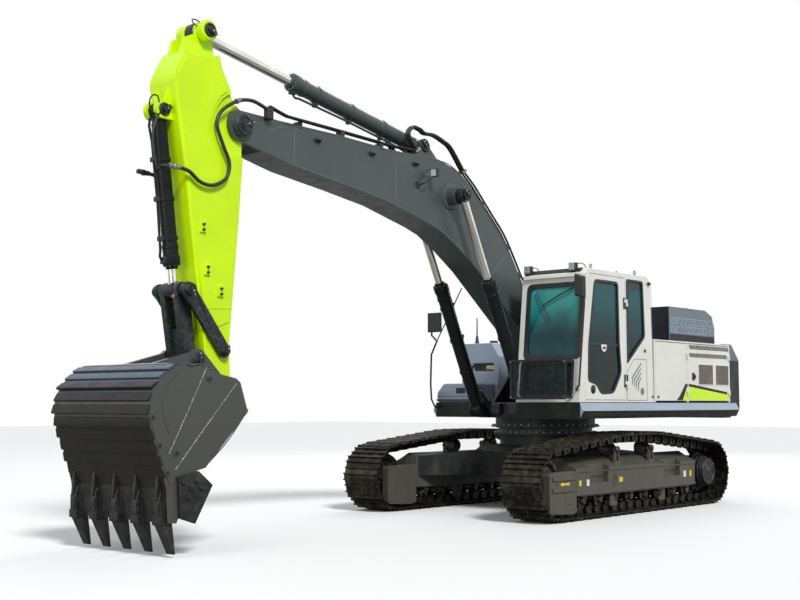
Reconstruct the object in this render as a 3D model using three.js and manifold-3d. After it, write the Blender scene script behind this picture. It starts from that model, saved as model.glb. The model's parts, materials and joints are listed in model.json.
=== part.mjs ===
// A 33 t class crawler excavator with a one-piece boom, an arm and a toothed bucket.
// Millimetres. +X is forward (boom side), +Y is the machine's left (cab side), +Z is up.
// The machine is drawn about its swing axis with the ground at z = 0; the last lines move the whole
// group so that its origin is the middle of the bottom of its bounding box.
import * as THREE from 'three';
import { mergeVertices } from 'three/addons/utils/BufferGeometryUtils.js';
import { ConvexGeometry } from 'three/addons/geometries/ConvexGeometry.js';
import Module from 'manifold-3d';

const wasm = await Module();
wasm.setup();

// ---------------------------------------------------------------- driving dimensions

const seat = 0.3; // gap between faces that touch
const pinGap = 0.5; // side play at a pin
const doorGap = 6; // gap round a door or lid
const reach = 20; // how far a cutting solid runs past the faces that it cuts

const track = {
  gauge: 2590, shoeWidth: 600, shoes: 50, grouser: 28, plate: 14, chainDepth: 105, chainWidth: 210,
  wheelX: [2030, -2010], wrapRadius: 455, plateauTop: 1067, carrierX: [465, -425], carrierRadius: 85,
};
const frameBeam = {
  front: 1540, rear: -1590, bottom: 295, outerTop: 625, innerTop: 760, halfWidth: 200,
  pocketX: [980, -930], pocketLength: 440, pocketDepth: 90, pocketHeight: 190,
};
const rollers = { count: 8, first: 1280, pitch: 386, radius: 73, railDepth: 22 };
const carbody = { halfX: 760, halfY: 680, bottom: 450, top: 870, legFoot: [880, 1500], legTop: 800, seatRadius: 640 };
const slewRing = { radius: 660, bore: 520, bottom: 1010, middle: 1100, upperRadius: 700 };

const deck = {
  bottom: 1245, top: 1455, half: 1490, front: 1430, cabSide: 510, bayFront: 880, rightFront: 610, rear: -2760,
};
const skirt = { bulge: 55, top: 1450, fold: 1345, rear: -2950 };
const counterweight = { front: -2770, tailRadius: 3430, bottom: 1222, lower: 1355, upper: 2085, top: 2343, half: 1490,
  sideRear: -3060, bottomInset: 125, topInset: 95 };
const house = { front: -460, rear: -2755, top: 2320, wall: 40, middle: -40, tankRear: -1510, leftSplit: -1420 };
const hood = { front: -1620, rearTop: -2767, rearMid: -2987, rear: -3069, right: -420, left: 1100, seatZ: 2350,
  top: 2864, midZ: 2782, lowZ: 2600, wall: 25 };
const engine = { length: 1500, width: 880, height: 780, x: -2130, y: -60 };
const fuelTank = { front: -5, rear: -750, inner: -800, top: 2330 };
const hydraulicTank = { length: 740, gap: 12 };
const toolbox = { front: 600, top: 1730, inner: -880 };
const swingMotor = { x: -250, radius: 185, height: 395 };

const cab = {
  left: 1490, right: 522, bottom: deck.top + seat, top: 3165, frontBottom: 1445, frontTop: 1250, rearBottom: -440, rearTop: -375,
  wall: 45, roofEdge: 70,
};
const cabDoor = { rear: 300, frontBottom: 1297, frontTop: 1165, bottom: 1486, top: 3100 };
const glass = { thickness: 6, inset: 16, play: 0.5 };
const windshieldArea = { y: [650, 1430], z: [2045, 2950] };
const lowerWindowArea = { y: [600, 1360], z: [1540, 1985] };
const rearWindowArea = { y: [640, 1380], z: [2060, 2960] };
const guard = { x: 1562, thickness: 30, y: [530, 1390], z: [1490, 2000], border: 36, bars: 5, barHeight: 16 };

const boomFoot = [60, 2000];
const boomLength = 6380;
const boomAngle = 21.9; // degrees above the ground, foot pin to tip pin
const armLength = 2890;
const armAngle = -85.33; // degrees, boom tip pin to bucket pin
const boomHalf = 205;
const armHalf = 190;
const forkPlate = 40; // each cheek of the boom's tip fork
const forkReach = 330; // radius of the cheeks about the tip pin
const forkDepth = 400; // radius of the slot between them
const boomCylinderY = 400;
const boomCylinderBase = [1040, 1360];
const earPlate = 45;
const rodEyeHalf = 70;
const guideLength = 772;
const guidePlate = 45;
const guidePin = [2410, 24]; // along and in front of the arm's centre line, from the boom tip pin
const linkLength = 720;
const bucketLinkPin = [348, 375]; // from the bucket pin
const bucketHalf = 750;
const bucketWall = 30;
const bucketEar = 55;
const toothCount = 5;
const mirrorPlate = 40;

const colours = {
  frameBlack: [0x15191b, 0.65, 0.3],
  trackSteel: [0x35312b, 0.6, 0.7],
  wornSteel: [0x4c473e, 0.6, 0.6],
  greyPaint: [0x596360, 0.45, 0.2],
  darkPaint: [0x2e3436, 0.5, 0.2],
  limePaint: [0xd9fb00, 0.4, 0.1],
  whitePaint: [0xe3e2dc, 0.35, 0.1],
  bluePaint: [0x8797a4, 0.45, 0.2],
  chrome: [0xd8dadc, 0.12, 1.0],
  tint: [0x2f7d78, 0.08, 0.1],
  fabric: [0x22262a, 0.9, 0.0],
  plastic: [0x1d2022, 0.6, 0.0],
};

// ---------------------------------------------------------------- small geometry tools

const rad = (degrees) => (degrees * Math.PI) / 180;
const machine = new THREE.Group();

function toSolid(geometry) {
  const bare = geometry.clone();
  bare.deleteAttribute('normal');
  bare.deleteAttribute('uv');
  const merged = mergeVertices(bare, 1e-3);
  return new wasm.Manifold(new wasm.Mesh({
    numProp: 3,
    vertProperties: new Float32Array(merged.attributes.position.array),
    triVerts: new Uint32Array(merged.index.array),
  }));
}

const join = (...solids) => solids.flat().reduce((whole, one) => whole.add(one));
const cut = (solid, ...tools) => tools.flat().reduce((left, tool) => left.subtract(tool), solid);

function piece(name, solid, finish) {
  const { vertProperties, triVerts } = solid.getMesh();
  const geometry = new THREE.BufferGeometry();
  geometry.setAttribute('position', new THREE.BufferAttribute(new Float32Array(vertProperties), 3));
  geometry.setIndex(new THREE.BufferAttribute(new Uint32Array(triVerts), 1));
  geometry.computeVertexNormals();
  const [color, roughness, metalness] = colours[finish];
  const mesh = new THREE.Mesh(geometry, new THREE.MeshStandardMaterial({ color, roughness, metalness }));
  mesh.name = name;
  machine.add(mesh);
}

function box(x0, x1, y0, y1, z0, z1) {
  const geometry = new THREE.BoxGeometry(Math.abs(x1 - x0), Math.abs(y1 - y0), Math.abs(z1 - z0));
  geometry.translate((x0 + x1) / 2, (y0 + y1) / 2, (z0 + z1) / 2);
  return toSolid(geometry);
}

function extruded(outline, depth, holes = []) {
  const around = (points) => {
    const loop = points.map(([a, b]) => new THREE.Vector2(a, b));
    return THREE.ShapeUtils.isClockWise(loop) ? loop.reverse() : loop;
  };
  const shape = new THREE.Shape(around(outline));
  for (const hole of holes) shape.holes.push(new THREE.Path(around(hole)));
  return new THREE.ExtrudeGeometry(shape, { depth, bevelEnabled: false });
}

// An outline in the X-Z plane, between two values of Y.
function side(outline, y0, y1, holes) {
  const geometry = extruded(outline, Math.abs(y1 - y0), holes);
  geometry.rotateX(Math.PI / 2);
  geometry.translate(0, Math.max(y0, y1), 0);
  return toSolid(geometry);
}

// An outline in the X-Y plane, between two heights.
function plan(outline, z0, z1, holes) {
  const geometry = extruded(outline, z1 - z0, holes);
  geometry.translate(0, 0, z0);
  return toSolid(geometry);
}

// An outline in the Y-Z plane, between two values of X.
function front(outline, x0, x1, holes) {
  const geometry = extruded(outline, Math.abs(x1 - x0), holes);
  geometry.applyMatrix4(new THREE.Matrix4().makeBasis(
    new THREE.Vector3(0, 1, 0), new THREE.Vector3(0, 0, 1), new THREE.Vector3(1, 0, 0)));
  geometry.translate(Math.min(x0, x1), 0, 0);
  return toSolid(geometry);
}

const hullOf = (points) => toSolid(new ConvexGeometry(points.map((p) => new THREE.Vector3(...p))));

function drumY([x, z], radius, y0, y1, sides = 16) {
  const geometry = new THREE.CylinderGeometry(radius, radius, Math.abs(y1 - y0), sides);
  geometry.translate(x, (y0 + y1) / 2, z);
  return toSolid(geometry);
}

function drumZ([x, y], radius, z0, z1, sides = 16) {
  const geometry = new THREE.CylinderGeometry(radius, radius, z1 - z0, sides);
  geometry.rotateX(Math.PI / 2);
  geometry.translate(x, y, (z0 + z1) / 2);
  return toSolid(geometry);
}

// A turned shape: [radius, distance] pairs from the axis, along the line from one X-Z point to another.
function turned(profile, from, to, y, sides = 16) {
  const geometry = new THREE.LatheGeometry(profile.map(([r, s]) => new THREE.Vector2(r, s)), sides);
  const along = new THREE.Vector3(to[0] - from[0], 0, to[1] - from[1]).normalize();
  geometry.applyQuaternion(new THREE.Quaternion().setFromUnitVectors(new THREE.Vector3(0, 1, 0), along));
  geometry.translate(from[0], y, from[1]);
  return toSolid(geometry);
}

// A round bar bent through a list of points.
function bent(points, radius, sides = 6) {
  const path = new THREE.CurvePath();
  for (let i = 1; i < points.length; i += 1) {
    path.add(new THREE.LineCurve3(new THREE.Vector3(...points[i - 1]), new THREE.Vector3(...points[i])));
  }
  const parts = path.curves.map((line) => {
    const span = new THREE.Vector3().subVectors(line.v2, line.v1);
    const bar = new THREE.CylinderGeometry(radius, radius, span.length(), sides);
    bar.applyQuaternion(new THREE.Quaternion().setFromUnitVectors(new THREE.Vector3(0, 1, 0), span.normalize()));
    const middle = new THREE.Vector3().addVectors(line.v1, line.v2).multiplyScalar(0.5);
    bar.translate(middle.x, middle.y, middle.z);
    return toSolid(bar);
  });
  const elbows = points.slice(1, -1).map(([x, y, z]) => {
    const ball = new THREE.SphereGeometry(radius, sides, 4);
    ball.translate(x, y, z);
    return toSolid(ball);
  });
  return join(parts, elbows);
}

// Points of an arc about [x, z], from one angle to another in degrees.
function arc([x, z], radius, from, to, steps = 6) {
  return Array.from({ length: steps + 1 }, (_, i) => {
    const angle = rad(from + ((to - from) * i) / steps);
    return [x + radius * Math.cos(angle), z + radius * Math.sin(angle)];
  });
}

const distance = (a, b) => Math.hypot(b[0] - a[0], b[1] - a[1]);
const angleOf = (from, to) => (Math.atan2(to[1] - from[1], to[0] - from[0]) * 180) / Math.PI;

// A link with two round ends, as an outline in the X-Z plane.
function capsule(a, b, radiusA, radiusB = radiusA) {
  const angle = angleOf(a, b);
  return [...arc(a, radiusA, angle + 90, angle + 270), ...arc(b, radiusB, angle - 90, angle + 90)];
}

// Coordinates along and across a member that starts at a pin, turned into X and Z.
function memberFrame([x, z], degrees) {
  const c = Math.cos(rad(degrees));
  const s = Math.sin(rad(degrees));
  return (u, v) => [x + u * c - v * s, z + u * s + v * c];
}

// Where two circles meet, on the left of the line from the first centre to the second.
function meet(a, radiusA, b, radiusB) {
  const gap = distance(a, b);
  const along = (radiusA ** 2 - radiusB ** 2 + gap ** 2) / (2 * gap);
  const across = Math.sqrt(radiusA ** 2 - along ** 2);
  const frame = memberFrame(a, angleOf(a, b));
  return frame(along, across);
}

// Moves every side of a convex outline inwards.
function inset(outline, amount) {
  const turn = Math.sign(THREE.ShapeUtils.area(outline.map(([a, b]) => new THREE.Vector2(a, b))));
  const lines = outline.map((p, i) => {
    const q = outline[(i + 1) % outline.length];
    const long = distance(p, q);
    const normal = [(-turn * (q[1] - p[1])) / long, (turn * (q[0] - p[0])) / long];
    return { point: [p[0] + normal[0] * amount, p[1] + normal[1] * amount], along: [q[0] - p[0], q[1] - p[1]] };
  });
  return lines.map((line, i) => {
    const last = lines[(i + lines.length - 1) % lines.length];
    const cross = last.along[0] * line.along[1] - last.along[1] * line.along[0];
    const t = ((line.point[0] - last.point[0]) * line.along[1] - (line.point[1] - last.point[1]) * line.along[0]) / cross;
    return [last.point[0] + last.along[0] * t, last.point[1] + last.along[1] * t];
  });
}

// A plate that follows an open outline, its thickness on the outline's right.
function strip(outline, thickness) {
  const inner = outline.map((p, i) => {
    const before = outline[Math.max(i - 1, 0)];
    const after = outline[Math.min(i + 1, outline.length - 1)];
    const long = distance(before, after);
    return [p[0] + ((after[1] - before[1]) / long) * thickness, p[1] - ((after[0] - before[0]) / long) * thickness];
  });
  return [...outline, ...inner.reverse()];
}

// ---------------------------------------------------------------- undercarriage

const beltDepth = track.grouser + track.plate + track.chainDepth;
const wheelZ = track.wrapRadius;
const carrierZ = track.plateauTop - beltDepth - track.carrierRadius;
const innerWheelRadius = track.wrapRadius - beltDepth;

// The track's outline at a depth below the grouser tips: a belt round its four wheels.
function beltOutline(depth, count) {
  const circles = [
    ...track.wheelX.map((x) => [x, wheelZ, track.wrapRadius - depth]),
    ...track.carrierX.map((x) => [x, carrierZ, track.carrierRadius + beltDepth - depth]),
  ];
  const cloud = circles.flatMap(([x, z, r]) => arc([x, z], r, 0, 360, 240));
  cloud.sort((a, b) => a[0] - b[0] || a[1] - b[1]);
  const halfHull = (points) => points.reduce((hull, p) => {
    while (hull.length > 1) {
      const [a, b] = hull.slice(-2);
      if ((b[0] - a[0]) * (p[1] - a[1]) - (b[1] - a[1]) * (p[0] - a[0]) > 0) break;
      hull.pop();
    }
    return [...hull, p];
  }, []);
  const hull = [...halfHull(cloud).slice(0, -1), ...halfHull([...cloud].reverse()).slice(0, -1)];
  const spans = hull.map((p, i) => distance(p, hull[(i + 1) % hull.length]));
  const total = spans.reduce((sum, span) => sum + span, 0);
  return Array.from({ length: count }, (_, i) => {
    let left = (total * i) / count;
    let k = 0;
    while (left > spans[k]) {
      left -= spans[k];
      k += 1;
    }
    const p = hull[k];
    const q = hull[(k + 1) % hull.length];
    const t = left / spans[k];
    return [p[0] + (q[0] - p[0]) * t, p[1] + (q[1] - p[1]) * t];
  });
}

// Shoes as a stepped outline: each has one raised grouser where it meets the next.
function shoeOutline() {
  const perShoe = 8;
  const fine = beltOutline(0, track.shoes * perShoe);
  return fine.flatMap((p, i) => {
    const before = fine[(i + fine.length - 1) % fine.length];
    const after = fine[(i + 1) % fine.length];
    const long = distance(before, after);
    const inward = [(-(after[1] - before[1]) / long) * track.grouser, ((after[0] - before[0]) / long) * track.grouser];
    const low = [p[0] + inward[0], p[1] + inward[1]];
    if (i % perShoe === 0) return [low, p];
    if (i % perShoe === 1) return [p, low];
    return [];
  });
}

function makeTrack(name, centreY) {
  const halfShoe = track.shoeWidth / 2;
  const halfChain = track.chainWidth / 2;
  const shoes = side(shoeOutline(), centreY - halfShoe, centreY + halfShoe,
    [beltOutline(track.grouser + track.plate, track.shoes)]);
  const chain = side(beltOutline(track.grouser + track.plate / 2, track.shoes), centreY - halfChain,
    centreY + halfChain, [beltOutline(beltDepth, track.shoes * 2)]);
  piece(name, join(shoes, chain), 'trackSteel');
}

const wheelRadius = innerWheelRadius - 6; // clears the flats of the chain
const idlerHalf = 85;
const yokeInner = 105;

function makeIdler(name, centreY) {
  const centre = [track.wheelX[0], wheelZ];
  const rim = drumY(centre, wheelRadius, centreY - idlerHalf, centreY + idlerHalf, 24);
  const dish = [-1, 1].map((s) => drumY(centre, wheelRadius - 70, centreY + s * (idlerHalf - 25),
    centreY + s * (idlerHalf + reach), 20));
  const hub = drumY(centre, 95, centreY - yokeInner + seat, centreY + yokeInner - seat, 16);
  piece(name, join(cut(rim, dish), hub), 'trackSteel');
}

// The two cheeks that hold the idler at the front of a track frame, with two ribs on the outer one.
function idlerYoke(centreY, outward) {
  const rearEdge = frameBeam.front - 5;
  const cheek = [
    [rearEdge, frameBeam.bottom - 200], [rearEdge, frameBeam.outerTop - 20], [2100, 600], [2130, 560],
    [2130, 130], [2090, 95], [1650, 70],
  ];
  const cheeks = [-1, 1].map((s) => side(cheek, centreY + s * yokeInner, centreY + s * frameBeam.halfWidth));
  const bridge = box(rearEdge, rearEdge + 70, centreY - frameBeam.halfWidth, centreY + frameBeam.halfWidth, 350, 560);
  const ribY = centreY + outward * frameBeam.halfWidth;
  const ribs = [525, 385].map((z) => box(rearEdge + 40, 2080, ribY - reach, ribY + reach, z - 24, z + 24));
  return join(cheeks, bridge, ribs);
}

function makeSprocket(name, centreY, outward) {
  const centre = [track.wheelX[1], wheelZ];
  const teeth = 21;
  const rim = Array.from({ length: teeth * 2 }, (_, i) => {
    const r = i % 2 ? wheelRadius - 42 : wheelRadius - 4;
    const angle = (Math.PI * 2 * (i + 0.25 * (i % 2))) / (teeth * 2);
    return [centre[0] + r * Math.cos(angle), centre[1] + r * Math.sin(angle)];
  });
  const ring = side(rim, centreY - 40, centreY + 40);
  const drum = drumY(centre, wheelRadius * 0.78, centreY - outward * 95, centreY + outward * 150, 24);
  const cover = drumY(centre, wheelRadius * 0.68, centreY + outward * 149, centreY + outward * 215, 24);
  piece(name, join(ring, drum, cover), 'frameBlack');
}

function makeTrackFrame(name, centreY, outward) {
  const outer = centreY + outward * frameBeam.halfWidth;
  const inner = centreY - outward * frameBeam.halfWidth;
  const section = [
    [inner, frameBeam.bottom], [outer, frameBeam.bottom], [outer, frameBeam.outerTop],
    [centreY + outward * 60, frameBeam.innerTop - 70], [centreY - outward * 60, frameBeam.innerTop],
    [inner, frameBeam.innerTop - 40],
  ];
  const beam = front(section, frameBeam.rear, frameBeam.front);
  const pockets = frameBeam.pocketX.map((x) => box(x - frameBeam.pocketLength / 2, x + frameBeam.pocketLength / 2,
    outer - outward * frameBeam.pocketDepth, outer + outward * reach,
    frameBeam.outerTop - frameBeam.pocketHeight, frameBeam.outerTop + reach * 4));
  const recess = box(frameBeam.rear - reach, frameBeam.front - 30, outer - outward * 12, outer + outward * reach,
    frameBeam.bottom + 30, frameBeam.outerTop - 40);
  // the final drive's case, carried on the frame's inner side behind the beam
  const caseInner = inner + outward * 10;
  const caseOuter = centreY - 95 * outward - outward * seat;
  const driveCase = join(
    side(capsule([frameBeam.rear, wheelZ], [track.wheelX[1], wheelZ], 150, wheelRadius * 0.745), caseInner, caseOuter));
  const stands = track.carrierX.map((x) => {
    const roller = join(drumY([x, carrierZ], track.carrierRadius - 4, centreY - 80, centreY + 80),
      drumY([x, carrierZ], 38, centreY - 80, centreY + outward * 130, 10));
    const arch = [[x - 75, frameBeam.outerTop - 30], [x - 45, carrierZ - 30], [x - 25, carrierZ + 45], [x + 25, carrierZ + 45],
      [x + 45, carrierZ - 30], [x + 75, frameBeam.outerTop - 30]];
    const opening = [[x - 38, frameBeam.outerTop + 60], [x - 22, carrierZ - 55], [x + 22, carrierZ - 55],
      [x + 38, frameBeam.outerTop + 60]];
    return join(roller, side(arch, centreY + outward * 110, centreY + outward * 150, [opening]));
  });
  piece(name, join(cut(beam, pockets, recess), driveCase, stands, idlerYoke(centreY, outward)), 'wornSteel');
}

function makeRollers(name, centreY) {
  const rollerZ = beltDepth + rollers.radius + 1;
  const railTop = frameBeam.bottom - seat;
  const railBottom = railTop - rollers.railDepth;
  const last = rollers.first - rollers.pitch * (rollers.count - 1);
  const rail = box(last - 110, rollers.first + 110, centreY - 165, centreY + 165, railBottom, railTop);
  const each = Array.from({ length: rollers.count }, (_, i) => {
    const x = rollers.first - rollers.pitch * i;
    return join(
      drumY([x, rollerZ], rollers.radius, centreY - 100, centreY + 100, 10),
      drumY([x, rollerZ], 34, centreY - 150, centreY + 150, 6),
      [-1, 1].map((s) => box(x - 42, x + 42, centreY + s * 122, centreY + s * 158, rollerZ - 30, railBottom + 1)));
  });
  const guides = [1.85, 5.15].map((step) => rollers.first - rollers.pitch * step).flatMap((x) => [-1, 1].map((s) =>
    box(x - 75, x + 75, centreY + s * 132, centreY + s * 160, track.grouser + track.plate + 50, railBottom + 1)));
  piece(name, join(rail, each, guides), 'frameBlack');
}

for (const [word, outward] of [['left', 1], ['right', -1]]) {
  const centreY = (outward * track.gauge) / 2;
  makeTrack(`track_${word}`, centreY);
  makeIdler(`idler_${word}`, centreY);
  makeSprocket(`sprocket_${word}`, centreY, outward);
  makeTrackFrame(`track_frame_${word}`, centreY, outward);
  makeRollers(`bottom_rollers_${word}`, centreY);
}

function makeCarbody() {
  const body = hullOf([-1, 1].flatMap((sx) => [-1, 1].flatMap((sy) => [
    [sx * carbody.halfX, sy * carbody.halfY, carbody.bottom],
    [sx * carbody.halfX, sy * carbody.halfY, carbody.top - 90],
    [sx * (carbody.halfX - 110), sy * (carbody.halfY - 60), carbody.top],
  ])));
  const footY = track.gauge / 2 - frameBeam.halfWidth - seat;
  const rootY = carbody.halfY - 120;
  const legs = [-1, 1].flatMap((sx) => [-1, 1].map((sy) => hullOf([
    ...[230, carbody.halfX].flatMap((x) => [carbody.bottom, carbody.top - 70].map((z) => [sx * x, sy * rootY, z])),
    ...carbody.legFoot.flatMap((x) => [carbody.bottom, carbody.legTop - 90].map((z) => [sx * x, sy * footY, z])),
  ])));
  const ringSeat = drumZ([0, 0], carbody.seatRadius, carbody.top - 30, slewRing.bottom, 28);
  piece('carbody', join(body, legs, ringSeat), 'frameBlack');
  const ring = cut(drumZ([0, 0], slewRing.radius, slewRing.bottom + seat, slewRing.middle, 32),
    drumZ([0, 0], slewRing.bore, slewRing.bottom - reach, slewRing.middle + reach, 32));
  piece('slew_ring', ring, 'darkPaint');
}
makeCarbody();

// ---------------------------------------------------------------- linkage pins

const boomFrame = memberFrame(boomFoot, boomAngle);
const armPin = boomFrame(boomLength, 0);
const boomRodPin = boomFrame(0.4613 * boomLength, 1048);
const armCylinderPin = boomFrame(0.5548 * boomLength, 1460);
const armFrame = memberFrame(armPin, armAngle);
const bucketPin = armFrame(armLength, 0);
const armRodPin = armFrame(-890, 524);
const bucketCylinderPin = armFrame(57, 939);
const guideFoot = armFrame(guidePin[0] + armLength - 2890, guidePin[1]);
const bucketAt = ([x, z]) => [bucketPin[0] + x, bucketPin[1] + z];
const linkFoot = bucketAt(bucketLinkPin);
const linkTop = meet(guideFoot, guideLength, linkFoot, linkLength);

// ---------------------------------------------------------------- upper structure

const bracketInner = 290;
const bracketPlate = 50;
const lugPlate = 28;
const cylinderEyeHalf = 55;

function makePlatform() {
  const outline = [
    [deck.front, deck.half], [deck.front, deck.cabSide], [deck.bayFront, deck.cabSide], [deck.bayFront, -deck.cabSide],
    [deck.rightFront, -deck.cabSide], [deck.rightFront, -deck.half], [deck.rear, -deck.half], [deck.rear, deck.half],
  ];
  const floor = plan(outline, deck.bottom, deck.top);
  const race = drumZ([0, 0], slewRing.upperRadius, slewRing.middle + pinGap, deck.bottom + reach, 32);
  const cheek = [
    [boomFoot[0] - 500, deck.top - reach], ...arc(boomFoot, 165, 160, 20, 6),
    [deck.bayFront - 40, deck.top - reach],
  ];
  const cheeks = [-1, 1].flatMap((s) => [
    side(cheek, s * bracketInner, s * (bracketInner + bracketPlate)),
    drumY(boomFoot, 105, s * bracketInner, s * (bracketInner + bracketPlate + 25)),
  ]);
  const lugs = [-1, 1].flatMap((s) => [-1, 1].map((t) => {
    const face = s * boomCylinderY + t * (cylinderEyeHalf + pinGap);
    const plate = [
      [deck.bayFront - reach, deck.bottom + 5], ...arc(boomCylinderBase, 95, -70, 80, 6),
      [deck.bayFront - reach, deck.top - 5],
    ];
    return side(plate, face, face + t * lugPlate);
  }));
  piece('swing_platform', join(floor, race, cheeks, lugs), 'frameBlack');
}
makePlatform();

function makeSkirt(name, s, frontX) {
  const outline = [
    [s * (deck.half + seat), deck.bottom], [s * (deck.half + skirt.bulge), skirt.fold],
    [s * (deck.half + seat), skirt.top],
  ];
  piece(name, front(outline, skirt.rear, frontX), 'bluePaint');
}
makeSkirt('side_skirt_left', 1, deck.front);
makeSkirt('side_skirt_right', -1, deck.rightFront);

function makeCounterweight() {
  const ring = (amount) => {
    const r = counterweight.tailRadius - amount;
    const half = counterweight.half - amount;
    const edge = (Math.asin(half / r) * 180) / Math.PI;
    return [
      [counterweight.front, half], ...arc([0, 0], r, 180 - edge, 180 + edge, 8), [counterweight.front, -half],
    ];
  };
  const levels = [
    [counterweight.bottom, counterweight.bottomInset], [counterweight.lower, 0], [counterweight.upper, 0],
    [counterweight.top, counterweight.topInset],
  ];
  const block = hullOf(levels.flatMap(([z, amount]) => ring(amount).map(([x, y]) => [x, y, z])));
  const corners = [-1, 1].map((s) => plan([
    [counterweight.sideRear, s * (counterweight.half + reach)], [-3600, s * (counterweight.half + reach)],
    [-3600, s * (counterweight.half - 420)], [-3250, s * (counterweight.half - 230)],
  ], counterweight.bottom - reach, counterweight.top + reach));
  piece('counterweight', cut(block, corners), 'darkPaint');
}
makeCounterweight();

// Hinge knuckles on an upright axis: the leaf's own, and the pair that carries it.
function uprightHinge([x, y], heights, leafTab, postTab) {
  const radius = 13;
  const tall = 45;
  const leaf = heights.map((z) => join(drumZ([x, y], radius, z, z + tall, 8), leafTab(z, z + tall)));
  const post = heights.map((z) => join(drumZ([x, y], radius, z - tall - pinGap, z - pinGap, 8),
    postTab(z - tall - pinGap, z - pinGap)));
  return { leaf: join(leaf), post: join(post) };
}

const hingeProud = 14;

// A flat side door in the X-Z plane; s is +1 on the left of the machine and -1 on the right.
function sideDoor({ rear, frontX, bottom, top, s }) {
  const faceY = s * deck.half;
  const axis = [rear, s * (deck.half + hingeProud)];
  const panel = box(rear + doorGap, frontX, faceY, faceY - s * house.wall, bottom, top);
  const tab = (x0, x1) => (z0, z1) => box(x0, x1, faceY - s * 4, axis[1], z0, z1);
  const hinge = uprightHinge(axis, [bottom + 120, top - 160], tab(rear, rear + 34), tab(rear - 34, rear));
  return { door: join(panel, hinge.leaf), post: hinge.post };
}

const doorBottom = 1477;
const doorTop = house.top - 30;
const leftFrontDoor = sideDoor({ rear: house.leftSplit + 20, frontX: house.front - house.wall - doorGap, bottom: doorBottom,
  top: doorTop, s: 1 });
const leftRearDoor = sideDoor({ rear: house.rear + house.wall, frontX: house.leftSplit - 20 - doorGap,
  bottom: doorBottom, top: doorTop, s: 1 });
const rightRearDoor = sideDoor({ rear: house.rear + house.wall, frontX: house.tankRear - house.wall - doorGap,
  bottom: doorBottom, top: doorTop, s: -1 });

const hoodHinge = [hood.front + 26, hood.seatZ + 10];

function hoodHingeParts() {
  const radius = 13;
  const places = [-150, 830];
  const wide = 60;
  const leaf = places.map((y) => join(drumY(hoodHinge, radius, y, y + wide, 8),
    box(hood.front - 10, hoodHinge[0], y, y + wide, hood.seatZ, hoodHinge[1] + radius)));
  const base = places.map((y) => join(drumY(hoodHinge, radius, y + wide + pinGap, y + 2 * wide, 8),
    box(hoodHinge[0] - radius, hoodHinge[0] + radius, y + wide + pinGap, y + 2 * wide, house.top - 5, hoodHinge[1])));
  return { leaf: join(leaf), base: join(base) };
}
const hoodKnuckles = hoodHingeParts();

function makeHouse() {
  const outline = [
    [house.front, deck.half], [house.rear, deck.half], [house.rear, -deck.half], [house.tankRear, -deck.half],
    [house.tankRear, house.middle], [house.front, house.middle],
  ];
  const w = house.wall;
  const inside = [
    [house.front - w, deck.half - w], [house.rear + w, deck.half - w], [house.rear + w, -deck.half + w],
    [house.tankRear - w, -deck.half + w], [house.tankRear - w, house.middle + w], [house.front - w, house.middle + w],
  ];
  const floorZ = deck.top + seat;
  const shell = cut(plan(outline, floorZ, house.top), plan(inside, floorZ - reach, house.top - w));
  const doorway = (rear, frontX, s) => box(rear, frontX + doorGap, s * (deck.half - w - reach), s * (deck.half + reach),
    floorZ - reach, doorTop + doorGap);
  const doorways = [
    doorway(house.leftSplit + 20, house.front - w - doorGap, 1),
    doorway(house.rear + w, house.leftSplit - 20 - doorGap, 1),
    doorway(house.rear + w, house.tankRear - w - doorGap, -1),
  ];
  const well = box(hood.front - 60, house.rear + 60, hood.right + 60, hood.left - 60, house.top - w - reach,
    house.top + reach * 3);
  const curb = box(hood.front, house.rear, hood.right, hood.left, house.top - 5, hood.seatZ - seat);
  piece('engine_house', cut(join(shell, curb), doorways, well)
    .add(join(leftFrontDoor.post, leftRearDoor.post, rightRearDoor.post, hoodKnuckles.base)), 'whitePaint');
}
makeHouse();
piece('left_front_door', leftFrontDoor.door, 'whitePaint');
piece('left_rear_door', leftRearDoor.door, 'whitePaint');
piece('right_rear_door', rightRearDoor.door, 'whitePaint');

function makeHood() {
  const outline = [
    [hood.front, hood.seatZ], [hood.front, hood.top], [hood.rearTop, hood.top], [hood.rearMid, hood.midZ],
    [hood.rear, hood.lowZ], [hood.rear, hood.seatZ],
  ];
  const inner = inset(outline, hood.wall);
  const shell = cut(side(outline, hood.right, hood.left),
    side(inner, hood.right + hood.wall, hood.left - hood.wall),
    box(hood.front - hood.wall, hood.rear + hood.wall, hood.right + hood.wall, hood.left - hood.wall,
      hood.seatZ - reach, hood.seatZ + hood.wall + reach));
  piece('engine_hood', join(shell, hoodKnuckles.leaf), 'darkPaint');
}
makeHood();

piece('engine', box(engine.x - engine.width / 2, engine.x + engine.width / 2, engine.y - engine.length / 2,
  engine.y + engine.length / 2, deck.top + seat, deck.top + engine.height), 'darkPaint');

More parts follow.
